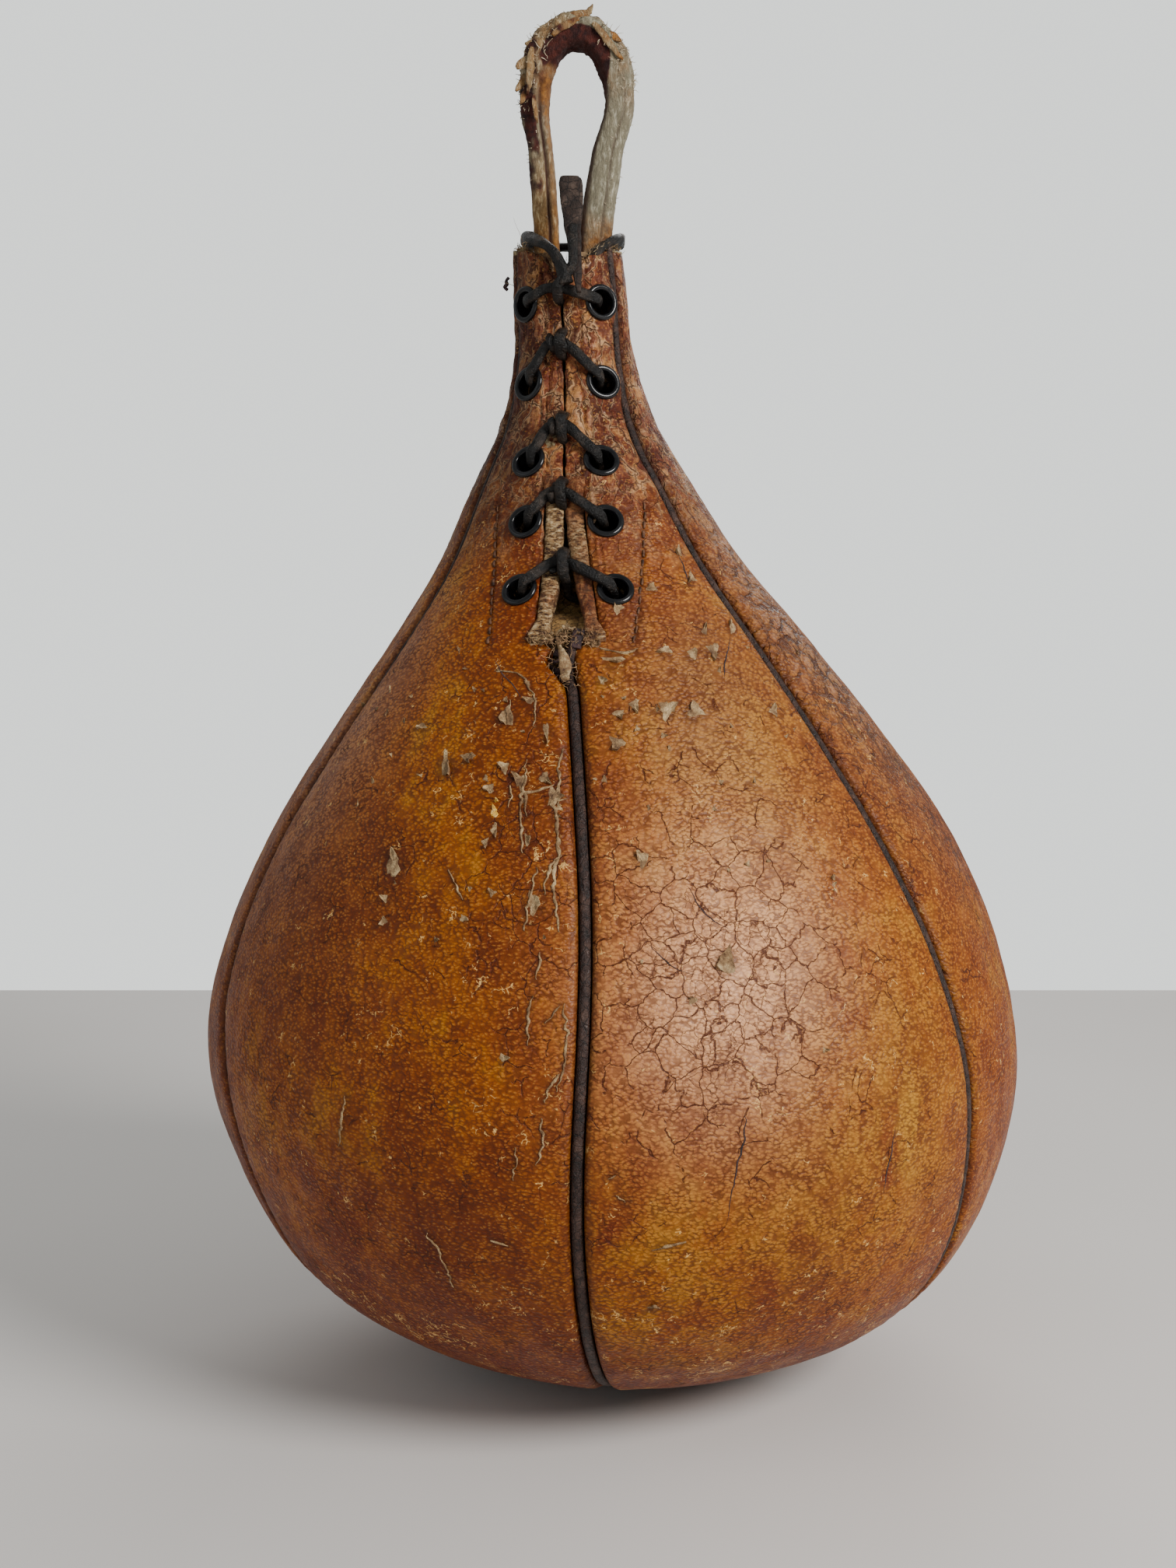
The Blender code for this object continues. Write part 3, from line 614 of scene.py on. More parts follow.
# Each lamp: its name, place, size, watts and colour.
LAMPS = [
    ("key", (0.75, -0.75, 0.72), 0.5, 18, (1.0, 0.98, 0.95)),
    ("fill", (-1.0, -0.5, 0.5), 0.9, 1.5, (0.93, 0.97, 1.0)),
    ("back", (0.2, 1.1, 0.9), 0.9, 6, (1.0, 0.99, 0.97)),
]
# The pale wall behind is brighter to look at than the light that it throws on the bag.
WALL_LIGHT = 0.4
WALL_SEEN = 1.32
FLOOR_CORNERS = [(-3, -3, 0), (3, -3, 0), (3, 0.54, 0), (-3, 0.54, 0)]


def camera():
    made = put("camera", bpy.data.cameras.new("camera"))
    made.location = CAMERA_PLACE
    made.rotation_euler = (math.radians(CAMERA_PITCH), 0, 0)
    made.data.lens = CAMERA_LENS
    bpy.context.scene.camera = made


def lamps():
    for name, place, size, watts, colour in LAMPS:
        data = bpy.data.lights.new(name, "AREA")
        data.shape, data.size, data.energy, data.color = "DISK", size, watts, colour
        made = put(name, data)
        made.location = place
        made.rotation_euler = (LAMPS_AIM - Vector(place)).to_track_quat("-Z", "Y").to_euler()


def floor_and_wall():
    mesh = bpy.data.meshes.new("floor")
    mesh.from_pydata(FLOOR_CORNERS, [], [(0, 1, 2, 3)])
    f = Finish("pale floor", Specular_IOR_Level=0.2)
    f.colour = f.ramp(f.noise(300, 2), (0.3, (0.66, 0.63, 0.61)), (0.7, (0.7, 0.67, 0.65)))
    f.bump(f.noise(1.2, 3), 0.1, 0.15)
    mesh.materials.append(f.done(0.85))
    floor = put("floor", mesh)
    world = bpy.data.worlds.new("studio")
    world.use_nodes = True
    sky = world.node_tree.nodes["Background"]
    sky.inputs["Color"].default_value = (0.97, 1.0, 0.98, 1)
    seen = world.node_tree.nodes.new("ShaderNodeLightPath").outputs["Is Camera Ray"]
    strength = world.node_tree.nodes.new("ShaderNodeMapRange")
    strength.inputs["To Min"].default_value = WALL_LIGHT
    strength.inputs["To Max"].default_value = WALL_SEEN
    world.node_tree.links.new(seen, strength.inputs["Value"])
    world.node_tree.links.new(strength.outputs[0], sky.inputs["Strength"])
    bpy.context.scene.world = world


camera()
floor_and_wall()
lamps()

# ---------------------------------------------------------------- marks on the leather

# Torn flakes of the top skin, as (along, height, width, length).
FLAKES = [
    (-49, 151, 4.8, 8.4), (-51, 143, 1.8, 2.6), (-51, 138, 2, 3), (-29, 140, 2.6, 2), (-22, 146, 2, 2),
    (-21, 160, 1.8, 4.4), (-23.5, 157, 2, 2.6), (-17, 186, 4.4, 6), (-11, 190, 4, 2), (-7, 183, 1.6, 5),
    (-34, 174, 3, 8), (-28, 176, 3.6, 2.6), (-18, 174, 2.6, 3.4), (-14, 171, 3.6, 4.8), (-22, 169, 3, 3),
    (-8, 172, 3, 3.4), (-6, 168, 4.4, 4.4), (-13, 158, 1.6, 4.2), (-12, 144, 3.2, 7), (-42, 183, 3.4, 2),
    (11, 187, 4, 2.6), (10, 180, 4.8, 4), (15, 189, 3, 3.6), (14, 154, 3, 4.6), (34, 221, 3, 3.6),
    (31, 228, 2.2, 4.2), (22, 218, 3.4, 2.4), (13, 213, 3, 3.8), (45, 208, 2.6, 4.6), (36, 207, 1.8, 3),
    (38, 202, 3.6, 5.2), (32, 201, 3, 3.6), (25, 202, 4, 2.6), (12, 200, 7, 2), (8, 195, 2, 3),
    (23, 188, 5.6, 5), (30, 187, 6, 3.6), (53, 187, 3, 4), (33, 131, 5.6, 7.4), (63, 148, 1.6, 2),
    (25, 123, 2.8, 2.4), (58, 110, 1.6, 1.6), (17, 49, 3.4, 1.4), (-18, 110, 2.8, 2.2), (-36, 135, 1.6, 1.4),
]
# Jagged cracks with a torn pale edge, each through (along, height) points. The first is the widest.
CRACKS = [
    [(-3, 179), (-4.8, 174), (-4.3, 171), (-6.2, 166), (-5.6, 160.5), (-5.5, 155), (-7.4, 148), (-5.8, 138)],
    [(-10.7, 152), (-13.7, 143), (-13.7, 138)], [(-5.2, 122.5), (-3.3, 115.5), (-4.1, 107), (-5.3, 103)],
    [(-10.5, 133.5), (-11.1, 127.5)], [(-59, 97.5), (-61, 85)], [(-37, 66), (-34, 60.5), (-31.5, 51)],
    [(17.5, 65), (25, 67)], [(-33, 150.5), (-29, 144)], [(-5.5, 155), (-8.5, 150.5), (-9.4, 146)],
    [(-4.1, 107), (-6.8, 104.5), (-8.2, 100.5)], [(-5.6, 122), (-8.6, 118)],
    [(-12.4, 176), (-13.4, 168), (-12.6, 163)], [(-16.5, 170), (-17.4, 165)],
    [(8, 203), (14, 201.5), (18, 202.5)], [(-9, 97), (-8, 92), (-9.4, 86)], [(-14, 90), (-14.6, 82)],
    [(-6, 170.5), (-10, 169), (-13.6, 167.4), (-14.2, 160), (-14, 155)], [(-6.6, 166.5), (-3, 167.6)],
    [(-17, 197), (-12.4, 196), (-10, 192), (-9.8, 184)], [(-16, 190), (-16.6, 184)],
    [(-12, 124), (-13, 118), (-12.4, 113)], [(-20, 66), (-16, 65)], [(9, 79), (12, 77.4)],
    [(9.4, 84), (7, 83)],
]
# Thin dark slits and scratches.
SLITS = [
    [(38.5, 98), (38.2, 92), (37, 85), (35, 71)], [(80, 90), (79, 84), (78, 79), (77.3, 73)],
    [(-19, 200), (-16, 195), (-12.5, 190)], [(24, 148), (29, 141), (34, 138)],
    [(14, 136), (21, 130), (31, 127.5)], [(44, 206), (41, 199), (40, 195)], [(31, 227), (33, 219)],
]
# The two lines of stitches that hold the facings.
STITCHES = [
    [(-20.2, 241), (-20.6, 226), (-20.9, 213), (-21.1, 203.5)],
    [(21.6, 241), (20.1, 226), (18.2, 211.5), (16.5, 203.5)],
]
# Dark red stains, as (along, height, size, strength).
RED_MARKS = [
    (78.5, 82, 3.2, 1.5), (80, 94, 2.4, 1.0), (7, 68, 4.4, 1.0), (66, 122, 5, 0.7), (-60, 42, 22, 0.9),
    (-25, 45, 9, 0.7), (45, 45, 10, 0.6), (62, 132, 3, 0.8), (-90, 70, 14, 0.6),
]
SMALL_FLAKES = 70
FLAKE_SIDES = 15
STITCH_STEP = 2.5
STITCH_LENGTH = 1.7
# Each finished gore, for finding the leather's surface with rays that start above it.
LEATHER_FACES = []
RAY_START, RAY_METRES = 5, 0.009


def on_leather(along, z, height=0.0):
    """Points this high above the finished leather, at places named as at_slit names them."""
    along, z, height = np.broadcast_arrays(*(np.asarray(v, float) for v in (along, z, height)))
    base = at_slit(along, z)
    out = unit(at_slit(along, z, -1.0) - base)
    lifted = []
    for place, way in zip(base.reshape(-1, 3), out.reshape(-1, 3)):
        start = Vector((place + RAY_START * way) * MM)
        hits = (tree.ray_cast(start, Vector(-way), RAY_METRES)[3] for tree in LEATHER_FACES)
        reached = [distance for distance in hits if distance is not None]
        lifted.append(place + way * (RAY_START - min(reached) / MM) if reached else place)
    return np.array(lifted).reshape(base.shape) + out * height[..., None]


def flake(soup, along, z, width, length, lift, seed):
    """A torn flake: a three-cornered slab let into the skin, one corner of it curled up."""
    chance = np.random.default_rng(seed)
    t = angles(FLAKE_SIDES) + chance.uniform(-0.15, 0.15, FLAKE_SIDES)
    point = chance.random() * 2 * math.pi if seed else math.pi / 2
    corner = 0.5 / np.cos((t - point) % (2 * math.pi / 3) - math.pi / 3)
    torn = 0.62 * corner * (0.75 + 0.5 * chance.random(FLAKE_SIDES))
    rings = []
    for share, height in ((1.0, -1.2), (1.0, 0.02), (0.85, 0.06), (0.5, 0.03), (0.2, 0.08)):
        up = height + (lift * share ** 2 * ease(np.cos(t - point), 0.5, 1.0) if height > 0 else 0.0)
        x = along + width * torn * share * np.cos(t)
        y = z + length * torn * share * np.sin(t) * 0.93
        rings.append(on_leather(x, y, up))
    soup.tube(np.array(rings))


def crack(soup, number, line):
    """A raised torn edge that wanders along a line."""
    length = sum(math.dist(a, b) for a, b in zip(line, line[1:]))
    route = curve_through(line, 1 + int(2.2 * length / (len(line) - 1)))
    level = np.c_[route, 0 * route[:, 0]]
    route[:, 0] += 0.8 * noise(level, 2.4, 81 + number) + 0.5 * noise(level, 0.9, 85 + number, 1)
    ends = np.sin(np.linspace(0.15, math.pi - 0.15, len(route)))[:, None] ** 0.5
    half = (0.32 + 0.42 * noise(level, 1.6, 91 + number)).clip(0.08)[:, None] * ends
    half = half * (0.8 if number else 1.3)
    ahead = unit(np.gradient(route, axis=0))
    c, s = circle(8)
    soup.tube(on_leather(route[:, :1] + half * c * ahead[:, 1:], route[:, 1:] - half * c * ahead[:, :1],
                         0.05 + 0.3 * s * ends))


def dark_slit(soup, number, line):
    route = curve_through(line, 12)
    route[:, 0] += 0.5 * noise(np.c_[route, 0 * route[:, 0]], 1.8, 110 + number, 2)
    half = 0.24 * np.sin(np.linspace(0.05, math.pi - 0.05, len(route)))[:, None]
    c, s = circle(6)
    soup.tube(on_leather(route[:, :1] + half * c, route[:, 1:], 0.03 + 0.25 * half * s))


def flakes():
    torn, yellow, dark = Soup(), Soup(), Soup()
    for number, (along, z, width, length) in enumerate(FLAKES):
        flake(torn, along, z, width, length, 0.9, number)
    for number in range(SMALL_FLAKES):
        along, z = random.normal(2, 34), random.normal(183, 24)
        if abs(along) > 4 and z < 205:
            flake(torn, along, z, random.uniform(0.8, 1.8), random.uniform(0.7, 2.2), 0.5, 100 + number)
    for number, line in enumerate(CRACKS):
        crack(torn, number, line)
    flake(yellow, -21, 164, 2.2, 3.6, 0.9, 0)
    flake(yellow, -20.4, 166.6, 1.2, 1.6, 1.3, 3)
    for number, line in enumerate(SLITS):
        dark_slit(dark, number, line)
    new_piece("torn_flakes", torn, BARE).data.shade_flat()
    new_piece("yellow_flakes", yellow, YELLOW)
    new_piece("dark_slits", dark, DARK_TORN)


def facing_stitches():
    """Short stitches along the two lines, half sunk in the leather."""
    soup = Soup()
    for line in STITCHES:
        route = curve_through(line, 30)
        length = np.concatenate([[0], np.cumsum(np.hypot(*np.diff(route, axis=0).T))])
        for start in np.arange(0.5, length[-1] - 2, STITCH_STEP):
            at = np.linspace(start, start + STITCH_LENGTH, 6)
            x, z = np.interp(at, length, route[:, 0]), np.interp(at, length, route[:, 1])
            rise = 0.1 + 0.25 * np.sin(np.linspace(0, math.pi, 6))
            path = on_leather(x + 0.15 * random.normal(), z, rise)
            thong(soup, path, 0.27, 0.24, sides=8, seed=int(start * 10))
    new_piece("facing_stitches", soup, THREAD)


def facing_out(places):
    """Outward direction of the bag at each place."""
    out = places - np.stack([reading(LEAN, places[:, 2]), 0 * places[:, 1], places[:, 2]], -1)
    return unit(out)


def strands(soup, roots, directions, lengths, radius, curl, seed):
    """Thin loose fibres, each a tapering three-sided tube that wanders as it goes."""
    chance = np.random.default_rng(seed)
    thirds = np.array([0, 2.094, 4.189])
    for root, direction, length in zip(roots, unit(np.asarray(directions)), lengths):
        steps = 6
        path = [np.asarray(root, float)]
        heading = direction
        for _ in range(steps):
            heading = unit(heading + curl * chance.normal(size=3))
            path.append(path[-1] + heading * length / steps)
        path = np.array(path)
        across, out = along_path(path, np.tile(chance.normal(size=3), (len(path), 1)))
        thick = radius * np.linspace(1, 0.25, len(path))[:, None, None]
        c, s = np.cos(thirds)[:, None], np.sin(thirds)[:, None]
        ring = across[:, None] * c + out[:, None] * s
        soup.tube(path[:, None] + thick * ring)


# ---------------------------------------------------------------- the leather gores

GORE_ROWS, GORE_COLUMNS, INNER_STEP = 481, 121, 4
FRONT_GAP, RIGHT_GAP, SIDE_GAP = 1.55, 1.45, 1.1
# Half the width of a welt.
FRONT_WELT, RIGHT_WELT, SIDE_WELT = 1.38, 1.28, 0.95
EYELET_HOLE = 3.6
# Round an eyelet the leather is flat out to PRESSED and free from UNPRESSED, at PRESSED_HEIGHT.
PRESSED, UNPRESSED, PRESSED_HEIGHT = 4.6, 8.0, 0.45
# How far the inner face of a gore keeps from its edges, and where its thicker flange ends.
INNER_EDGE, FLANGE_END = 1.7, 4.2
# The turned edge of a gore, from its flange up to its face: (distance in from the edge, depth).
TURNED_EDGE = [(0, 4.4), (0, 3.2), (0.04, 2.2), (0.22, 1.4), (0.55, 0.75), (1.05, 0.32), (1.8, 0.08)]


def seam_gap(seam, z):
    """Distance from a seam's middle line to the gore's edge. Above the slit's foot the front one opens."""
    if seam != "front":
        return np.full_like(z, RIGHT_GAP if seam == "right" else SIDE_GAP)
    open_gap = reading(SLIT, np.maximum(z, SLIT_FOOT_Z))
    return FRONT_GAP + (open_gap - FRONT_GAP) * ease(z, SLIT_FOOT_Z - 3, SLIT_FOOT_Z)


def slit_share(seam, z):
    return ease(z, SLIT_FOOT_Z - 6, SLIT_FOOT_Z) if seam == "front" else np.zeros_like(z)


def lie_flat_round_eyelets(places):
    """Presses the leather round each eyelet flat, a little below the eyelet's rim."""
    for z, distance, _ in EYELET_ROWS:
        for side in (-1, 1):
            centre, _, _, out = slit_frame(side * distance, z)
            offset = places - centre
            height = offset @ out
            from_axis = np.linalg.norm(offset - height[..., None] * out, axis=-1)
            weight = (1 - ease(from_axis, PRESSED, UNPRESSED)) * (np.abs(height) < 4)
            places += (weight * (PRESSED_HEIGHT - height))[..., None] * out
    return places


def turned(azimuth, seam, z):
    """Degrees round from a seam, -180 to 180."""
    return (azimuth - reading(SEAMS[seam], z) + 180) % 360 - 180


def distance_from_slit(azimuth, z, r):
    return np.radians(turned(azimuth, "front", z)) * r


def gore(name, seam_a, seam_b, index):
    """The outer and the inner face of a gore, as two grids of points."""
    at_front = "front" in (seam_a, seam_b)
    s = np.linspace(0, ARC_END, GORE_ROWS)[:, None]
    z, r = np.interp(s, ARC, OUTLINE[:, 1]), radius_at(s)
    start = reading(SEAMS[seam_a], z)
    span = (reading(SEAMS[seam_b], z) - start) % 360
    gap_a, gap_b = seam_gap(seam_a, z), seam_gap(seam_b, z)
    if name == "panel_front_left":
        # The piece torn out beside the seam, below the slit.
        gap_b = gap_b + 3.8 * bell(z, 200.5, 3.4)
    width = np.radians(span) * r - gap_a - gap_b
    inset, deep = np.array(TURNED_EDGE).T
    middle = np.linspace(0, 1, GORE_COLUMNS - 2 * len(inset) + 2)[1:-1]
    reach = inset[-1]
    rim = np.tile(inset, (GORE_ROWS, 1))
    from_a = np.hstack([rim, reach + (width - 2 * reach) * middle, width - inset[::-1]])
    cut_a, cut_b = slit_share(seam_a, z), slit_share(seam_b, z)
    depth = np.hstack([
        deep * (1 - 0.42 * cut_a), np.zeros((GORE_ROWS, len(middle))), deep[::-1] * (1 - 0.42 * cut_b),
    ])
    from_edge = np.minimum(from_a, width - from_a)
    share = from_a / width
    azimuth = start + np.degrees((gap_a + from_a) / r)
    base = skin(s, azimuth, 0, share)

    # The gore swells between its seams, is puckered along them, and is folded in the neck.
    in_neck = ease(z, 214, 264)
    around = np.stack(np.broadcast_arrays(azimuth * np.radians(np.maximum(r, 15)), s, 7.0 * index), -1)
    lumps = 0.55 * noise(base, 42, 1) + 0.2 * noise(base, 13, 2) + 0.05 * noise(base, 4, 3, 2)
    puff = 0.9 * (1 - in_neck) * ease(z, 0, 30) * (1 - np.exp(-from_edge / 13.0))
    pucker = 0.13 * np.exp(-from_edge / 3.0) * np.sin(s * 2 * math.pi / 4.4 + 2 * noise(base, 20, 4))
    folds = 0.42 * noise(around * (1, 0.16, 1), 3.4, 5, 3) + 0.2 * noise(around * (1, 0.5, 1), 2.0, 6, 2)
    wrinkles = 0.05 * noise(around * (0.5, 1, 1), 2.2, 7, 2) * ease(noise(base, 30, 8), -0.1, 0.3)
    face = ease(from_edge, 0.2, 2.6)
    out = face * (lumps + puff + in_neck * folds + wrinkles) + pucker * face
    # Creases along the slit, dents under the stitches, and a ragged top edge that dips at the front.
    for cut, distance in ((cut_a, from_a), (cut_b, width - from_a)):
        crease = 0.45 * bell(distance, 1.6, 0.45) + 0.3 * bell(distance, 3.2 + 0.5 * noise(base, 9, 9), 0.5)
        out = out - cut * crease * ease(noise(base, 7, 10), -0.5, 0.1)
    from_slit = distance_from_slit(azimuth, z, r) if at_front else 99.0
    if at_front:
        for points in STITCHES:
            where = np.interp(z, *np.array(points[::-1]).T[::-1])
            out = out - 0.4 * bell(from_slit, where, 0.8) * ease(z, 201, 205) * ease(z, 262, 238)
    outer = skin(s, azimuth, depth - out, share)
    if at_front:
        outer = lie_flat_round_eyelets(outer)
    ragged = 1.0 * noise(around * (1, 0, 1), 2.4, 12, 3) + 0.8 * noise(around * (1, 0, 1), 7, 13, 1)
    outer[..., 2] += ease(z, 296, 311) * (1.5 * ragged - 0.6 - 7.0 * bell(from_slit, 0, 8))

    coarse = slice(None, None, INNER_STEP)
    width, r = width[coarse], r[coarse]
    inner_a = np.clip(from_a[coarse, coarse], INNER_EDGE, width - INNER_EDGE)
    flange = 1 - ease(np.minimum(inner_a, width - inner_a), INNER_EDGE, FLANGE_END)
    inner_depth = LEATHER + 2.0 * flange * (1 - np.maximum(cut_a, cut_b)[coarse])
    inner_azimuth = start[coarse] + np.degrees(gap_a[coarse] / r) + np.degrees(inner_a / r)
    inner = skin(s[coarse], inner_azimuth, inner_depth, inner_a / width)
    inner[-1, :, 2] = outer[-1, coarse, 2] - 0.2
    return outer, inner


def ring_of(rows, columns, start):
    """Indices round the rim of a grid, in order."""
    a = start + np.arange(rows * columns).reshape(rows, columns)
    return np.concatenate([a[0, :-1], a[:-1, -1], a[-1, :0:-1], a[:0:-1, 0]])


def sheet_of_leather(outer, inner, step):
    """A closed sheet whose inner grid has one point for every step points of the outer one."""
    rows, columns = outer.shape[:2]
    soup = Soup()
    size = rows * columns
    faces = grid_faces(rows, columns) + grid_faces(*inner.shape[:2], start=size)
    around, within = ring_of(rows, columns, 0), ring_of(*inner.shape[:2], size)
    for i, here in enumerate(within):
        rim = [around[(i * step + k) % len(around)] for k in range(step + 1)]
        faces += [(a, b, here) for a, b in zip(rim, rim[1:])]
        faces.append((rim[-1], within[(i + 1) % len(within)], here))
    soup.add(np.vstack([outer.reshape(-1, 3), inner.reshape(-1, 3)]), faces)
    return soup


def punch_eyelets(piece, side):
    """Cuts the five round holes through one side of the slit."""
    cutters = Soup()
    t = angles(32)[:, None]
    for z, distance, _ in EYELET_ROWS:
        centre, across, up, out = slit_frame(side * distance, z)
        ring = EYELET_HOLE * (across * np.cos(t) + up * np.sin(t))
        cutters.tube(np.stack([centre + ring - 8 * out, centre + ring + 4 * out]))
    cutter = new_piece("cutter", cutters, PANEL)
    hole = piece.modifiers.new("holes", "BOOLEAN")
    hole.operation, hole.object = "DIFFERENCE", cutter
    cut = bpy.data.meshes.new_from_object(piece.evaluated_get(bpy.context.evaluated_depsgraph_get()))
    piece.modifiers.clear()
    piece.data = cut
    cut.shade_smooth()
    bpy.data.objects.remove(cutter)


def skin_place(places):
    """Height, distance along from the front line, distance from the nearest seam, azimuth and radius."""
    x, y, z = places.T
    x = x - reading(LEAN, z)
    azimuth, r = np.degrees(np.arctan2(x, -y)), np.hypot(x, y)
    from_seam = np.min([np.abs(np.radians(turned(azimuth, seam, z))) * r for seam in SEAMS], axis=0)
    return z, distance_from_slit(azimuth, z, r), from_seam, azimuth, r


def paint_gore(piece):
    """The masks of the leather's stains, wear, dirt, painted shade and painted sheen, where each is on the
    bag.
    """
    places = points_of(piece)
    z, along, from_seam, azimuth, r = skin_place(places)
    low, mid = noise(places, 38, 21), noise(places, 12, 22)
    neck = ease(z + 8 * low, 216, 256)
    facing = ease(np.abs(along), 21.5, 19) * ease(z, 201, 206)
    red = 1.1 * ease(z, 66, 10) + 0.25 * ease(-along, 5, 80) * ease(z, 150, 60)
    red = red + 0.3 * ease(low + 0.4 * mid, 0.1, 0.6) + 0.45 * facing
    for at, height, size, strength in RED_MARKS:
        red = np.maximum(red, patches(along, z, (strength, at, size, height, 2.2 * size)))
    # Painted sheen: the window's broad highlight on the right front gore, and a painted reflection of the
    # surroundings on the left side.
    pink = patches(along, z, (1, 33, 25, 127, 31)) + patches(azimuth, z, (0.35, -64, 15, 182, 40))
    ochre = patches(
        along, z, (0.8, 75, 30, 95, 45), (0.5, 30, 30, 62, 26), (0.1, -40, 30, 150, 50),
        (0.8, 42, 20, 172, 34), (1, 85, 4, 86, 9),
    )
    brown = patches(azimuth, z, (0.85, 66, 17, 205, 50)) + patches(along, z, (0.5, 30, 22, 190, 26))
    brown = brown + 0.35 * facing * ease(along, -2, 8)
    crackle = patches(along, z, (1.2, 30, 22, 123, 25), (0.25, 20, 30, 160, 26), (0.7, -13, 10, 148, 30))
    crackle = crackle + patches(azimuth, z, (0.5, 55, 14, 190, 34))
    crease = patches(azimuth, z, (1, 64, 17, 207, 42), (0.6, 74, 9, 150, 30))
    curls = 0.45 + patches(along, z, (0.5, -8, 16, 130, 70)) + 0.55 * ease(z, 60, 30)

    # Darker along the seams and towards the bottom: grime with painted shade.
    past_edge = np.maximum(from_seam - 1.5, 0)
    grime = 0.8 * np.exp(-past_edge / 1.3) + 0.35 * ease(z, 12, 0)
    # Painted shade round the flakes, cracks and stitches.
    marks = [(at, height, max(width, length)) for at, height, width, length in FLAKES]
    marks += [(at, height, 1.4) for line in CRACKS + STITCHES for at, height in curve_through(line, 8)]
    for at, height, size in marks:
        away = np.hypot(along - at, arc_at(z) - arc_at(height))
        grime = np.maximum(grime, 0.5 * np.exp(-np.maximum(away - 0.42 * size, 0) / 0.5))
    # Painted shade down the left side of the neck.
    grime = np.maximum(grime, 0.5 * ease(along, -4, -15) * neck)
    # Painted shade inside the mouth.
    inside = r < np.interp(z, OUTLINE[1:, 1], OUTLINE[1:, 0]) - 1.5
    grime = np.where(inside & (z > 200), 0.95, grime)
    bare = 0.5 * ease(noise(places, 7, 23) + 0.3 * mid, 0.42, 0.75) * bell(z, 185, 40) * bell(along, 5, 60)
    bare = np.maximum(bare, 0.75 * bell(z, 311, 2.0))
    bare = np.maximum(bare, 0.4 * np.exp(-past_edge / 0.5) * bell(along, 0, 5) * ease(z, 110, 50))
    paint(
        piece, neck=neck, red=red, crackle=crackle, pink=pink, ochre=ochre, brown=brown, crease=crease,
        curls=curls, grime=grime, bare=bare,
    )


def gores():
    for index, (name, seam_a, seam_b) in enumerate(GORES):
        soup = sheet_of_leather(*gore(name, seam_a, seam_b, index), INNER_STEP)
        piece = new_piece(f"leather_{name[6:]}", soup, PANEL, [name])
        if "front" in (seam_a, seam_b):
            punch_eyelets(piece, 1 if seam_a == "front" else -1)
        paint_gore(piece)
        LEATHER_FACES.append(BVHTree.FromObject(piece, bpy.context.evaluated_depsgraph_get()))


def welts():
    """The rounded dark strips in the seams."""
    for seam, table in SEAMS.items():
        front = seam == "front"
        top = arc_at(SLIT_FOOT_Z + 0.4) if front else ARC_END
        s = np.linspace(0, top, 520)
        z, r = np.interp(s, ARC, OUTLINE[:, 1]), radius_at(s)
        half = {"front": FRONT_WELT, "right": RIGHT_WELT}.get(seam, SIDE_WELT)
        t = np.linspace(math.pi, 0, 9)
        across = np.concatenate([np.cos(t), [1, -1]]) * half
        crest = 0.75 if front else 0.6
        deep = np.concatenate([crest + 0.95 * (1 - np.sin(t)), [4.1, 4.1]])[None]
        across = across[None] + 0.12 * noise(np.stack([s * 0, s, s * 0], -1), 9, 31)[:, None]
        if front:
            across = across + 1.7 * ease(z, 197, 206)[:, None]
            deep = deep - 1.3 * ease(z, 199, 205)[:, None]
        azimuth = reading(table, z)[:, None] + np.degrees(across / r[:, None])
        rings = skin(s[:, None], azimuth, deep, 0.0)
        wobble = 0.1 * noise(rings, 2.2, 32, 2) + 0.12 * noise(rings, 7, 33, 2)
        rings = skin(s[:, None], azimuth, deep + wobble, 0.0)
        soup = Soup()
        soup.tube(rings)
        new_piece(f"seam_{seam}", soup, WELT, [f"welt_{seam}"])


gores()
welts()
flakes()
facing_stitches()

# ---------------------------------------------------------------- the slit


# How far the inner edges of the lips keep from the slit's middle line, by height.
LIP_CLEAR = [
    (204.5, 3.6), (208, 4.4), (212, 4.0), (218, 2.5), (226.5, 1.1), (236, 0.3), (250, 0.3), (284, 0.35),
    (306, 0.6),
]


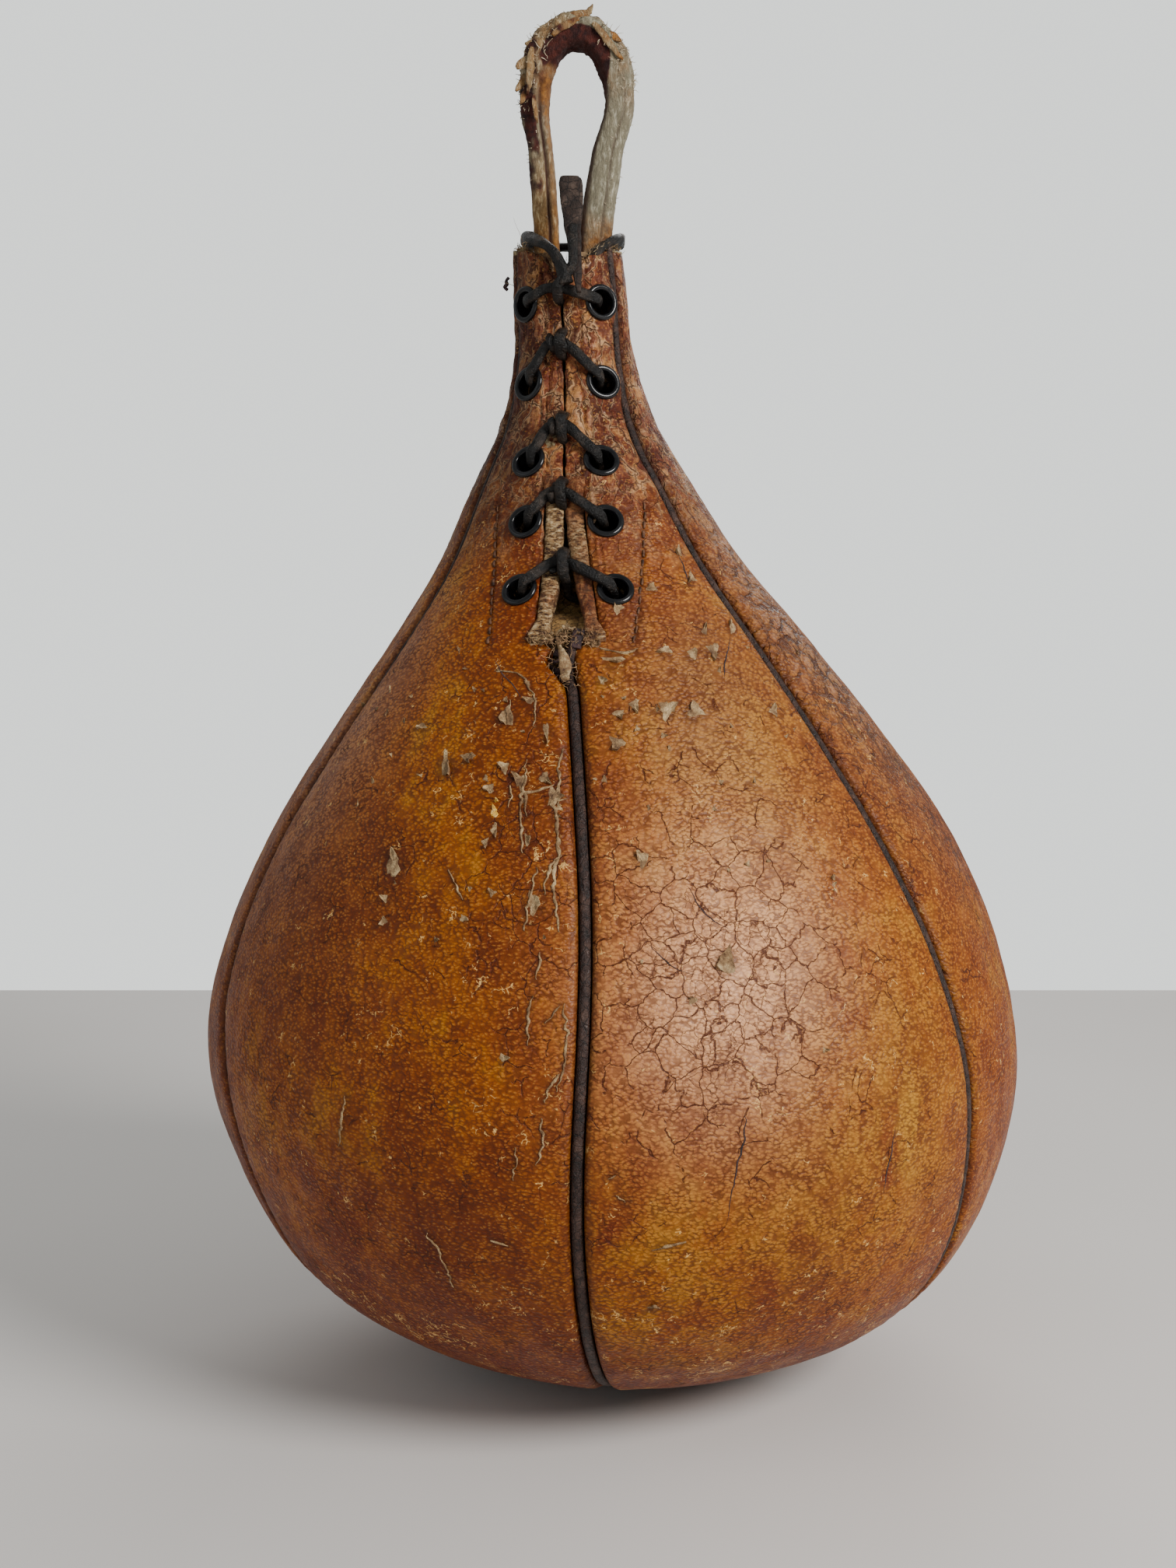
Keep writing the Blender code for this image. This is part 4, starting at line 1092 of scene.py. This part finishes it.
def lips():
    """The rolled, torn edges of the slit. Higher up they lie flat and reach onto the gore."""
    for name, side in (("left", -1), ("right", 1)):
        for part, foot, top, finish in (("rolled", 204.4, 247.5, LIP), ("flat", 246.5, 303.0, PANEL)):
            z = np.linspace(foot, top, int((top - foot) * 4))[:, None]
            flat = ease(z, 240, 250)
            level = np.stack([z * 0, z, z * 0 + side], -1)
            near = reading(LIP_CLEAR, z) + 0.3 * noise(level, 2.5, 40, 2)
            splay = 1.6 * ease(z, 211, 205.5)
            far = reading(SLIT, z) - 0.05 + splay + flat * (1.6 + 0.8 * noise(level, 6, 41, 2))
            c, s = np.cos(np.linspace(math.pi, 0, 15)), np.sin(np.linspace(math.pi, 0, 15))
            proud = (1.75 - 0.95 * flat) * (0.85 + 0.3 * noise(level, 5, 45))
            depth = 0.55 - 0.3 * flat - proud * s ** 0.8 - 0.8 * splay * c.clip(0)
            x = np.hstack([(near + far) / 2 + (far - near) / 2 * c, far - 0.1, near + 0.1])
            under = LEATHER + 0.6 + 0 * z
            depth = np.hstack([depth, under - 2.6 * flat, under])
            rings = at_slit(side * x, z, depth)
            wrinkle = 0.4 * noise(rings * (0.3, 0.3, 1), 1.1, 42 + side, 2) * (1 - 0.6 * flat)
            wrinkle = wrinkle + 0.55 * noise(rings, 3, 44, 2)
            wrinkle[:, -2:] = 0
            soup = Soup()
            soup.tube(at_slit(side * x, z, depth + wrinkle))
            nodes = [f"lip_{name}"] if part == "rolled" else []
            piece = new_piece(f"{part}_edge_{name}", soup, finish, nodes)
            height, mid = points_of(piece)[:, 2], noise(points_of(piece), 4, 46)
            middle_pale, foot_pale = (1.0, 0.8) if side < 0 else (0.45, 0.4)
            pale = middle_pale * bell(height, 230, 13) + foot_pale * bell(height, 206, 7)
            bare = 0.7 * (bell(height, 259, 5) + bell(height, 272, 4)) * (side < 0) * ease(mid, -0.3, 0.2)
            paint(piece, pale=pale, neck=0 * height + 1, grime=0.3 * ease(-mid, 0, 0.5), bare=bare)


def torn_foot():
    """Where the slit has torn at its foot: a ragged fringe, dark strands in the hole, a loose remnant."""
    fringe, fibres, hole, remnant = Soup(), Soup(), Soup(), Soup()
    for number in range(34):
        along = -9.2 + 17.4 * number / 33
        z = 205.6 + 2.0 * bell(along, 0.5, 2.6) - 1.2 * bell(abs(along), 8, 2.5) + random.normal(0, 0.35)
        along += random.normal(0, 0.3)
        flake(fringe, along, z, random.uniform(1.5, 2.8), random.uniform(0.8, 2.0), 1.7, 300 + number)
    # Fibres round the tear, and longer ones below it.
    for count, across, heights, depth, lean, reach, radius, seed in (
        (150, (-9.5, 8.2), (203.6, 207), -0.6, 0.6, (1.0, 3.2), 0.16, 5),
        (60, (-5.5, 2.5), (194, 204), 0.2, 0.5, (1.5, 4), 0.12, 9),
    ):
        roots = at_slit(random.uniform(*across, count), random.uniform(*heights, count), depth)
        ways = facing_out(roots) * lean + random.normal(0, 0.7, (count, 3))
        strands(fibres, roots, ways, random.uniform(*reach, count), radius, 0.3, seed)
    # Strands across the hole, the stub beside them, and the remnant that hangs in front.
    for number in range(9):
        z = 196.5 + 0.95 * number + np.cumsum(random.normal(0, 0.35, 9))
        path = at_slit(np.linspace(-6.4, 0.5, 9), z, 2.2 + 0.9 * random.random())
        thong(hole, path, 0.5, 0.32, sides=8, seed=320 + number)
    z = np.linspace(203, 207.4, 14)
    path = at_slit(2.2 + 0.25 * (z - 203), z, -0.2 - 0.5 * np.sin((z - 203) / 1.6))
    thong(hole, path, 1.5, 0.6, sides=16, seed=332)
    z = np.linspace(195.2, 205.4, 30)
    path = at_slit(-1.1 + 0.8 * np.sin((z - 195) / 2.1), z, -0.2 - 0.6 * np.sin((z - 195.6) / 3))
    half = 1.05 + 0.5 * np.sin((z - 196) / 1.5) + 0.3 * noise(path, 1.5, 333)
    thong(remnant, path, half, 0.5, sides=16, twist=25 * np.sin(z), seed=331)
    new_piece("torn_fringe", fringe, TORN)
    new_piece("torn_fibres", fibres, TORN_FIBRE)
    new_piece("torn_strands", hole, DARK_TORN)
    new_piece("torn_remnant", remnant, TORN)


# The tongue, as (height, depth, half its width).
TONGUE_SHAPE = [
    (190, 5.4, 8), (202, 4.4, 12), (207, 2.6, 12), (213, 4.4, 12), (218, 8.5, 13), (226.5, 9.4, 13),
    (243.5, 9.4, 12), (262.5, 9.4, 12), (281, 9.4, 11),
]


def tongue_flap():
    """The flap seen through the open foot of the slit."""
    z = np.linspace(TONGUE_SHAPE[0][0], TONGUE_SHAPE[-1][0], 90)[:, None]
    depth = reading([(height, deep) for height, deep, _ in TONGUE_SHAPE], z)
    x = reading([(height, half) for height, _, half in TONGUE_SHAPE], z) * np.linspace(-1, 1, 29)
    rough = 0.25 * noise(at_slit(x, z, depth), 5, 51)
    soup = sheet_of_leather(at_slit(x, z, depth + rough), at_slit(x, z, depth + 1.3), 1)
    new_piece("tongue_flap", soup, TONGUE, ["tongue"])


def eyelets():
    """Rolled rim, barrel and set flange of each eyelet."""
    # The cross-section, as (radius, height), goes round from the foot of the barrel's bore.
    t = np.linspace(0, math.pi, 9)
    rim = np.stack([4.07 - 0.83 * np.cos(t), 0.62 + 0.8 * np.sin(t)], -1)
    flange = [(4.7, 0.25), (3.5, 0.3), (3.5, -5.4), (4.2, -5.4), (4.2, -6.0)]
    r, height = np.vstack([[(3.2, -6.0)], rim, flange]).T[..., None]
    turn = angles(48)[:, None, None]
    size = len(turn) * len(r)
    faces = [[i % size for i in face] for face in grid_faces(len(turn) + 1, len(r), wrap=True)]
    for side_name, side in (("left", -1), ("right", 1)):
        for number, (z, distance, _) in enumerate(EYELET_ROWS, 1):
            centre, across, up, out = slit_frame(side * distance, z)
            soup = Soup()
            soup.add(centre + (across * (r * np.cos(turn)) + up * (r * np.sin(turn)) + out * height), faces)
            name = f"eyelet_{side_name}_{number}"
            new_piece(f"enamel_{name}", soup, ENAMEL, [name])


lips()
torn_foot()
tongue_flap()
eyelets()

# ---------------------------------------------------------------- the lace


# Where the lace crosses, beside the slit's middle line.
CROSSING = -1.2
# The lace's free end: its way up from the top crossing, then its flat tab with half its width.
LACE_END = [(-11.4, -20.4, 303.0), (-10.9, -18.9, 308.0), (-10.9, -17.0, 312.6), (-10.9, -16.0, 315.0)]
LACE_TAB = [
    (-9.3, -21.6, 296.5, 0.6), (-9.6, -20.9, 300.5, 1.1), (-10.4, -18.4, 308, 1.7),
    (-10.8, -16.2, 312.5, 2.1), (-11.1, -14.0, 317, 2.5), (-11.2, -12.4, 321.5, 3.05),
    (-11.5, -11.6, 325.5, 3.15), (-11.7, -11.2, 328.0, 2.9), (-11.7, -11.1, 328.8, 2.2),
]
# The collar thong's turn: from the top crossing round the left, the back and the right, into the mouth.
COLLAR = [
    (-12.6, -20.6, 299.0), (-14.0, -19.6, 303.5), (-16.6, -17.6, 308.2), (-20.4, -12.4, 311.4),
    (-23.6, -5.0, 313.8), (-24.0, 4.4, 314.4), (-19.8, 10.6, 314.4), (-12.0, 11.8, 314.2),
    (-4.0, 10.6, 314.2), (1.4, 5.4, 314.2), (1.6, -1.8, 313.6), (-1.4, -7.4, 311.8),
    (-4.6, -10.6, 309.0), (-6.4, -10.6, 305.5),
]
# Three long hairs, two at the mouth and one at the crumb: root, direction and length.
HAIRS = [
    ((-24.5, -12, 309.5), (0.05, -0.1, 1), 9), ((-24.0, -13, 309), (0.25, -0.2, 1), 7),
    ((-27.0, -5, 300.8), (-1, 0.2, 0.25), 5),
]
# The dark crumb beside the neck, from its top down.
CRUMB = [(-28.6, -3, 303.4), (-29.3, -3, 302.4), (-29.0, -3.3, 301.4), (-29.8, -3, 300.9), (-28.9, -3, 300.0)]


def lace_route():
    """The thong's way from the bottom row to the top, as (along, height, depth)."""
    route = []
    for z, c, rise in reversed(EYELET_ROWS):
        left, right = unit(np.array([CROSSING + c, rise])), unit(np.array([CROSSING - c, rise]))
        top, low = z + rise, z + rise - 0.1 * rise
        route += [(-c, z, LACE_INSIDE), (-c, z, 3.0), (-c + 0.6, z, -0.4)]
        route += [(-c + left[0] * g, z + left[1] * g, d) for g, d in ((2.2, -2.3), (4.6, -2.7))]
        route += [(CROSSING - 2.6, low, -2.5), (CROSSING, top, -2.6), (CROSSING + 2.6, low, -2.6)]
        route += [(c + right[0] * g, z + right[1] * g, d) for g, d in ((4.6, -2.7), (2.2, -2.3))]
        route += [(c - 0.6, z, -0.4), (c, z, 3.0), (c - 0.5, z, LACE_INSIDE)]
        route += [(c / 2, z + 0.2 * rise, LACE_INSIDE), (0, top - 4.0, 6.4), (0, top - 3.4, 2.0)]
        route += [(-0.4, top - 2.8, -2.2), (-0.2, top, -5.0)]
        if z < EYELET_ROWS[0][0]:
            route += [(0.2, top + 2.9, -2.6), (0, top + 3.8, 2.0), (0, top + 4.4, 6.4)]
    return route


def lace():
    route = curve_through(lace_route(), 5)
    path = at_slit(*route.T)
    end = curve_through([path[-1], *LACE_END], 6)
    path = np.vstack([path[:-1], end])
    outside = np.concatenate([ease(-route[:-1, 2], 0.5, 2.5), np.ones(len(end))])
    half = 1.15 + 0.3 * outside + 0.25 * noise(path, 4, 60, 2)
    half[-len(end):] = np.linspace(1.35, 1.2, len(end))
    soup = Soup()
    thong(soup, path, half, 0.85 + 0.12 * noise(path, 3, 65), twist=40 * noise(path, 7, 61, 2), seed=62)
    # Each crossing is knotted: a second turn wraps the first.
    t = np.linspace(0, 3.1 * math.pi, 40)
    for number, (z, _, rise) in enumerate(EYELET_ROWS[1:]):
        along = CROSSING + np.linspace(-1.9, 1.7, 40) + 0.5 * np.sin(t + number)
        wrap = at_slit(along, z + rise - 0.4 + 1.9 * np.cos(t + number), -2.5 - 1.7 * np.sin(t + number))
        thong(soup, wrap, 1.1, 0.7, twist=35 * np.sin(t), seed=66 + number)
    new_piece("lace_thong", soup, LACE, ["lace"])


def lace_tab():
    """The thong's flat free end in front of the loop."""
    curve = curve_through(LACE_TAB, 8)
    path = curve[:, :3]
    soup = Soup()
    twist = 8 + 10 * noise(path, 9, 67)
    thong(soup, path, curve[:, 3], 0.7, [0.12, -1.0, 0.1], sides=22, twist=twist, seed=63)
    new_piece("lace_tab", soup, TAB, ["lace_end"])


def collar():
    """The turn of thong round the loop's foot, from the top crossing into the mouth."""
    path = curve_through(COLLAR, 8)
    soup = Soup()
    twist = np.linspace(0, 500, len(path))
    thong(soup, path, 1.95 + 0.3 * noise(path, 4, 68), 1.2, twist=twist, seed=64)
    new_piece("collar_turn", soup, LACE, ["collar_thong"])


def mouth_fibres():
    """Frayed fibres round the mouth, and a dark crumb that hangs from the neck by a hair."""
    soup, crumb = Soup(), Soup()
    azimuth = [random.uniform(-75, -18, 150), random.uniform(10, 60, 70), random.uniform(60, 290, 80)]
    azimuth = np.concatenate(azimuth)
    z = 310.4 - 7.0 * bell(azimuth, -8, 31) + random.normal(0, 0.5, len(azimuth))
    roots = skin(arc_at(z), azimuth, random.uniform(0, 2.2, len(z)))
    ways = facing_out(roots) * 0.7 + random.normal(0, 0.6, (len(z), 3)) + (0, 0, 0.5)
    strands(soup, roots, ways, random.uniform(0.8, 2.6, len(z)), 0.13, 0.35, 6)
    strands(soup, *zip(*HAIRS), 0.1, 0.3, 7)
    path = curve_through(CRUMB, 5)
    thong(crumb, path, (0.75 + 0.9 * noise(path, 0.7, 69)).clip(0.25), 0.5, sides=8, seed=340)
    new_piece("mouth_fibres", soup, TORN)
    new_piece("hanging_crumb", crumb, DARK_TORN)


lace()
lace_tab()
collar()
mouth_fibres()

# ---------------------------------------------------------------- the hanging loop


# The middle of the strap, from its left tail over the arch to its right tail.
STRAP = [
    (-17.9, 2.8, 287), (-18.1, 2.6, 299), (-18.3, 2.0, 312), (-18.6, 1.6, 320), (-19.8, 1.0, 337),
    (-21.4, 1.0, 349), (-20.6, 1.0, 360), (-16.6, 1.0, 367.3), (-10.3, 1.0, 369.9), (-3.6, 1.0, 367.0),
    (0.7, 1.0, 359.5), (1.6, 1.0, 349), (-1.6, 1.0, 337), (-4.3, 1.6, 320), (-5.0, 2.0, 312),
    (-5.3, 2.6, 299), (-5.6, 2.8, 287),
]
STRAP_SIDES = 56
LOOP_MIDDLE = (-10.0, 1.0, 345.0)
# Torn flaps of the strap's skin: from, to and half their width.
FLAPS = [
    ((-23.4, -3, 357.5), (-26.6, -3.5, 353.0), 1.0), ((-22.0, -4, 361.6), (-26.4, -4.2, 359.0), 1.6),
    ((-20.5, -3, 365.6), (-24.2, -3, 366.0), 1.3), ((-13, -3.6, 372.2), (-6.0, -4, 373.4), 1.5),
    ((-7.6, -3.8, 372.0), (-5.8, -4, 375.6), 0.8), ((-2.6, -3.6, 368.6), (2.4, -4, 366.0), 1.2),
    ((-16.5, -4.8, 367.5), (-9.5, -5.6, 372.0), 1.1), ((-5.5, -5.4, 370.6), (2.4, -4.8, 360.8), 1.1),
    ((-22.0, -5.0, 364.0), (-23.2, -4.9, 352.0), 1.1), ((-23.5, -3.8, 353.0), (-25.4, -3.6, 349.6), 0.9),
    ((-21.5, -5.0, 352.0), (-20.6, -5.0, 344.0), 0.7),
]


def loop_strap():
    """The strap, rolled so that a groove runs down its front. It bends at the mouth."""
    path = curve_through(STRAP, 20)
    height = path[:, 2:]
    arch = ease(height, 340, 366)
    on_left = np.arange(len(path))[:, None] < len(path) / 2
    right = ease(np.arange(len(path))[:, None] / len(path), 0.45, 0.55)
    side = unit(np.cross(unit(np.gradient(path, axis=0)), (0.0, 1.0, 0.0)))
    c, s = circle(STRAP_SIDES)
    square = (np.abs(c) ** 2.6 + np.abs(s) ** 2.6) ** (-1 / 2.6)
    half = 3.5 + 1.2 * arch + right * (1 - arch) * (0.2 + 0.8 * ease(height, 352, 325))
    wide = half * c * square
    deep = (4.3 + 1.3 * arch) * s * square
    rings = path[:, None] + side[:, None] * wide[..., None] + np.array([0.0, 1.0, 0.0]) * deep[..., None]
    # How far each point is towards the loop's middle.
    inwards = np.sign(np.sum(side * (np.array(LOOP_MIDDLE) - path), -1, keepdims=True))
    towards = wide * inwards
    fold = np.where(on_left, 0.42, -0.34) * half + 0.35 * noise(path * (1, 1, 0.5), 5, 74)[:, None]
    groove = bell(towards, fold, np.where(on_left, 0.6, 0.35)) * ease(-s, 0.2, 0.7) * (1 - 0.7 * arch)
    rough = 0.45 * noise(rings * (1, 1, 0.3), 2.4, 71, 3) + 0.2 * noise(rings, 1.0, 72, 2)
    rough = rough + 0.7 * arch * noise(rings, 3.5, 73, 3)
    push = rough * (0.8 + 0.7 * arch) - (1.5 - 1.1 * right) * groove
    rings = rings + unit(rings - path[:, None]) * push[..., None]
    soup = Soup()
    soup.tube(rings)
    nodes = ["hanging_loop", "loop_tail_left", "loop_tail_right"]
    piece = new_piece("loop_strap", soup, LOOP, nodes, body=None)

    crown = ease(height, 354, 367)
    corner = (1 - right) * bell(height, 356, 8) * ease(towards, 0.5, 2.5)
    under = arch * ease(towards, 3.0 - 4.6 * crown, 4.2 - 3.8 * crown) * (1 - 0.8 * corner)
    blot = noise(rings, 6, 75, 3)
    # Painted shade in the groove, along the strap's inner side and on the inner face of the arch.
    dark = groove * (1.3 - 0.7 * right) + (0.3 + 0.6 * right) * ease(towards, 2.6, 3.6)
    dark = dark + 1.2 * arch * ease(towards, 2.0, 3.6) * ease(deep, 0.5, 2.5)
    grey = right * 0.9 + 0.3 * arch + 0.8 * bell(height, 345, 17)
    stain = (1 - right) * bell(height, 338, 15) * (0.95 + 1.5 * blot) * ease(towards, 1, -1)
    # Painted shade under the arch, laid on with the stain.
    stain = stain + 1.1 * under + 1.2 * arch * blot.clip(0)
    rust = ease(height, 323, 312) * (1.1 + blot) + 0.6 * (1 - right) * ease(towards, 1.9, 2.6)
    rust = rust + arch * (0.2 + blot) + 1.2 * corner
    for name, mask in (("groove", dark), ("grey", grey), ("stain", stain), ("rust", rust)):
        # The tube's last two points are the middles of its ends.
        paint(piece, **{name: np.append(np.broadcast_to(mask, wide.shape), (0, 0))})
    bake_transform(piece)
    return path, rings, arch[:, 0], inwards[:, 0]


def loop_wear(path, rings, arch, inwards):
    """Frayed fibres along the strap, thickest round its arch, and torn flaps at the arch's corners."""
    fray, flaps = Soup(), Soup()
    # Each run of the path, and how many fibres start in it.
    runs = (60, len(path) - 60, 160), (96, 150, 170), (176, 214, 110)
    rows = np.concatenate([random.integers(*run) for run in runs])
    columns = random.integers(-15, 16, len(rows)) + np.where(inwards[rows] > 0, 28, 0)
    roots = rings[rows, columns]
    ahead = unit(roots - path[rows])
    reach = random.uniform(0.5, 1.3, len(rows)) + 1.8 * arch[rows] * random.random(len(rows))
    strands(fray, roots, ahead * 0.5 + random.normal(0, 0.6, (len(rows), 3)), reach, 0.15, 0.35, 8)
    new_piece("strap_fray", fray, PALE_FIBRE, body="loop")
    share = np.linspace(0, 1, 12)[:, None]
    taper = np.sin(np.linspace(0.5, 2.9, 12))
    for start, end, half in FLAPS:
        way = np.array(start) * (1 - share) + np.array(end) * share
        way = way + np.stack([0.5 * noise(way, 2.2, seed, 2) for seed in (351, 352, 353)], -1)
        thong(flaps, way, half * taper, 0.4, [0.2, -1.0, 0.1], sides=10, seed=350)
    torn = new_piece("strap_flaps", flaps, LOOP, body="loop")
    at = points_of(torn)
    paint(torn, rust=0.4 + 1.3 * noise(at, 4, 76), stain=1.2 * noise(at, 3, 77), grey=np.full(len(at), 0.4))


loop_wear(*loop_strap())

# ---------------------------------------------------------------- carried-over solids

for node, finish in (
    ("facing_left", RAW), ("facing_right", RAW), ("base_patch", RAW), ("bladder", RUBBER),
    ("bladder_tie", TWINE),
):
    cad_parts[node].data.materials.clear()
    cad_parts[node].data.materials.append(finish)
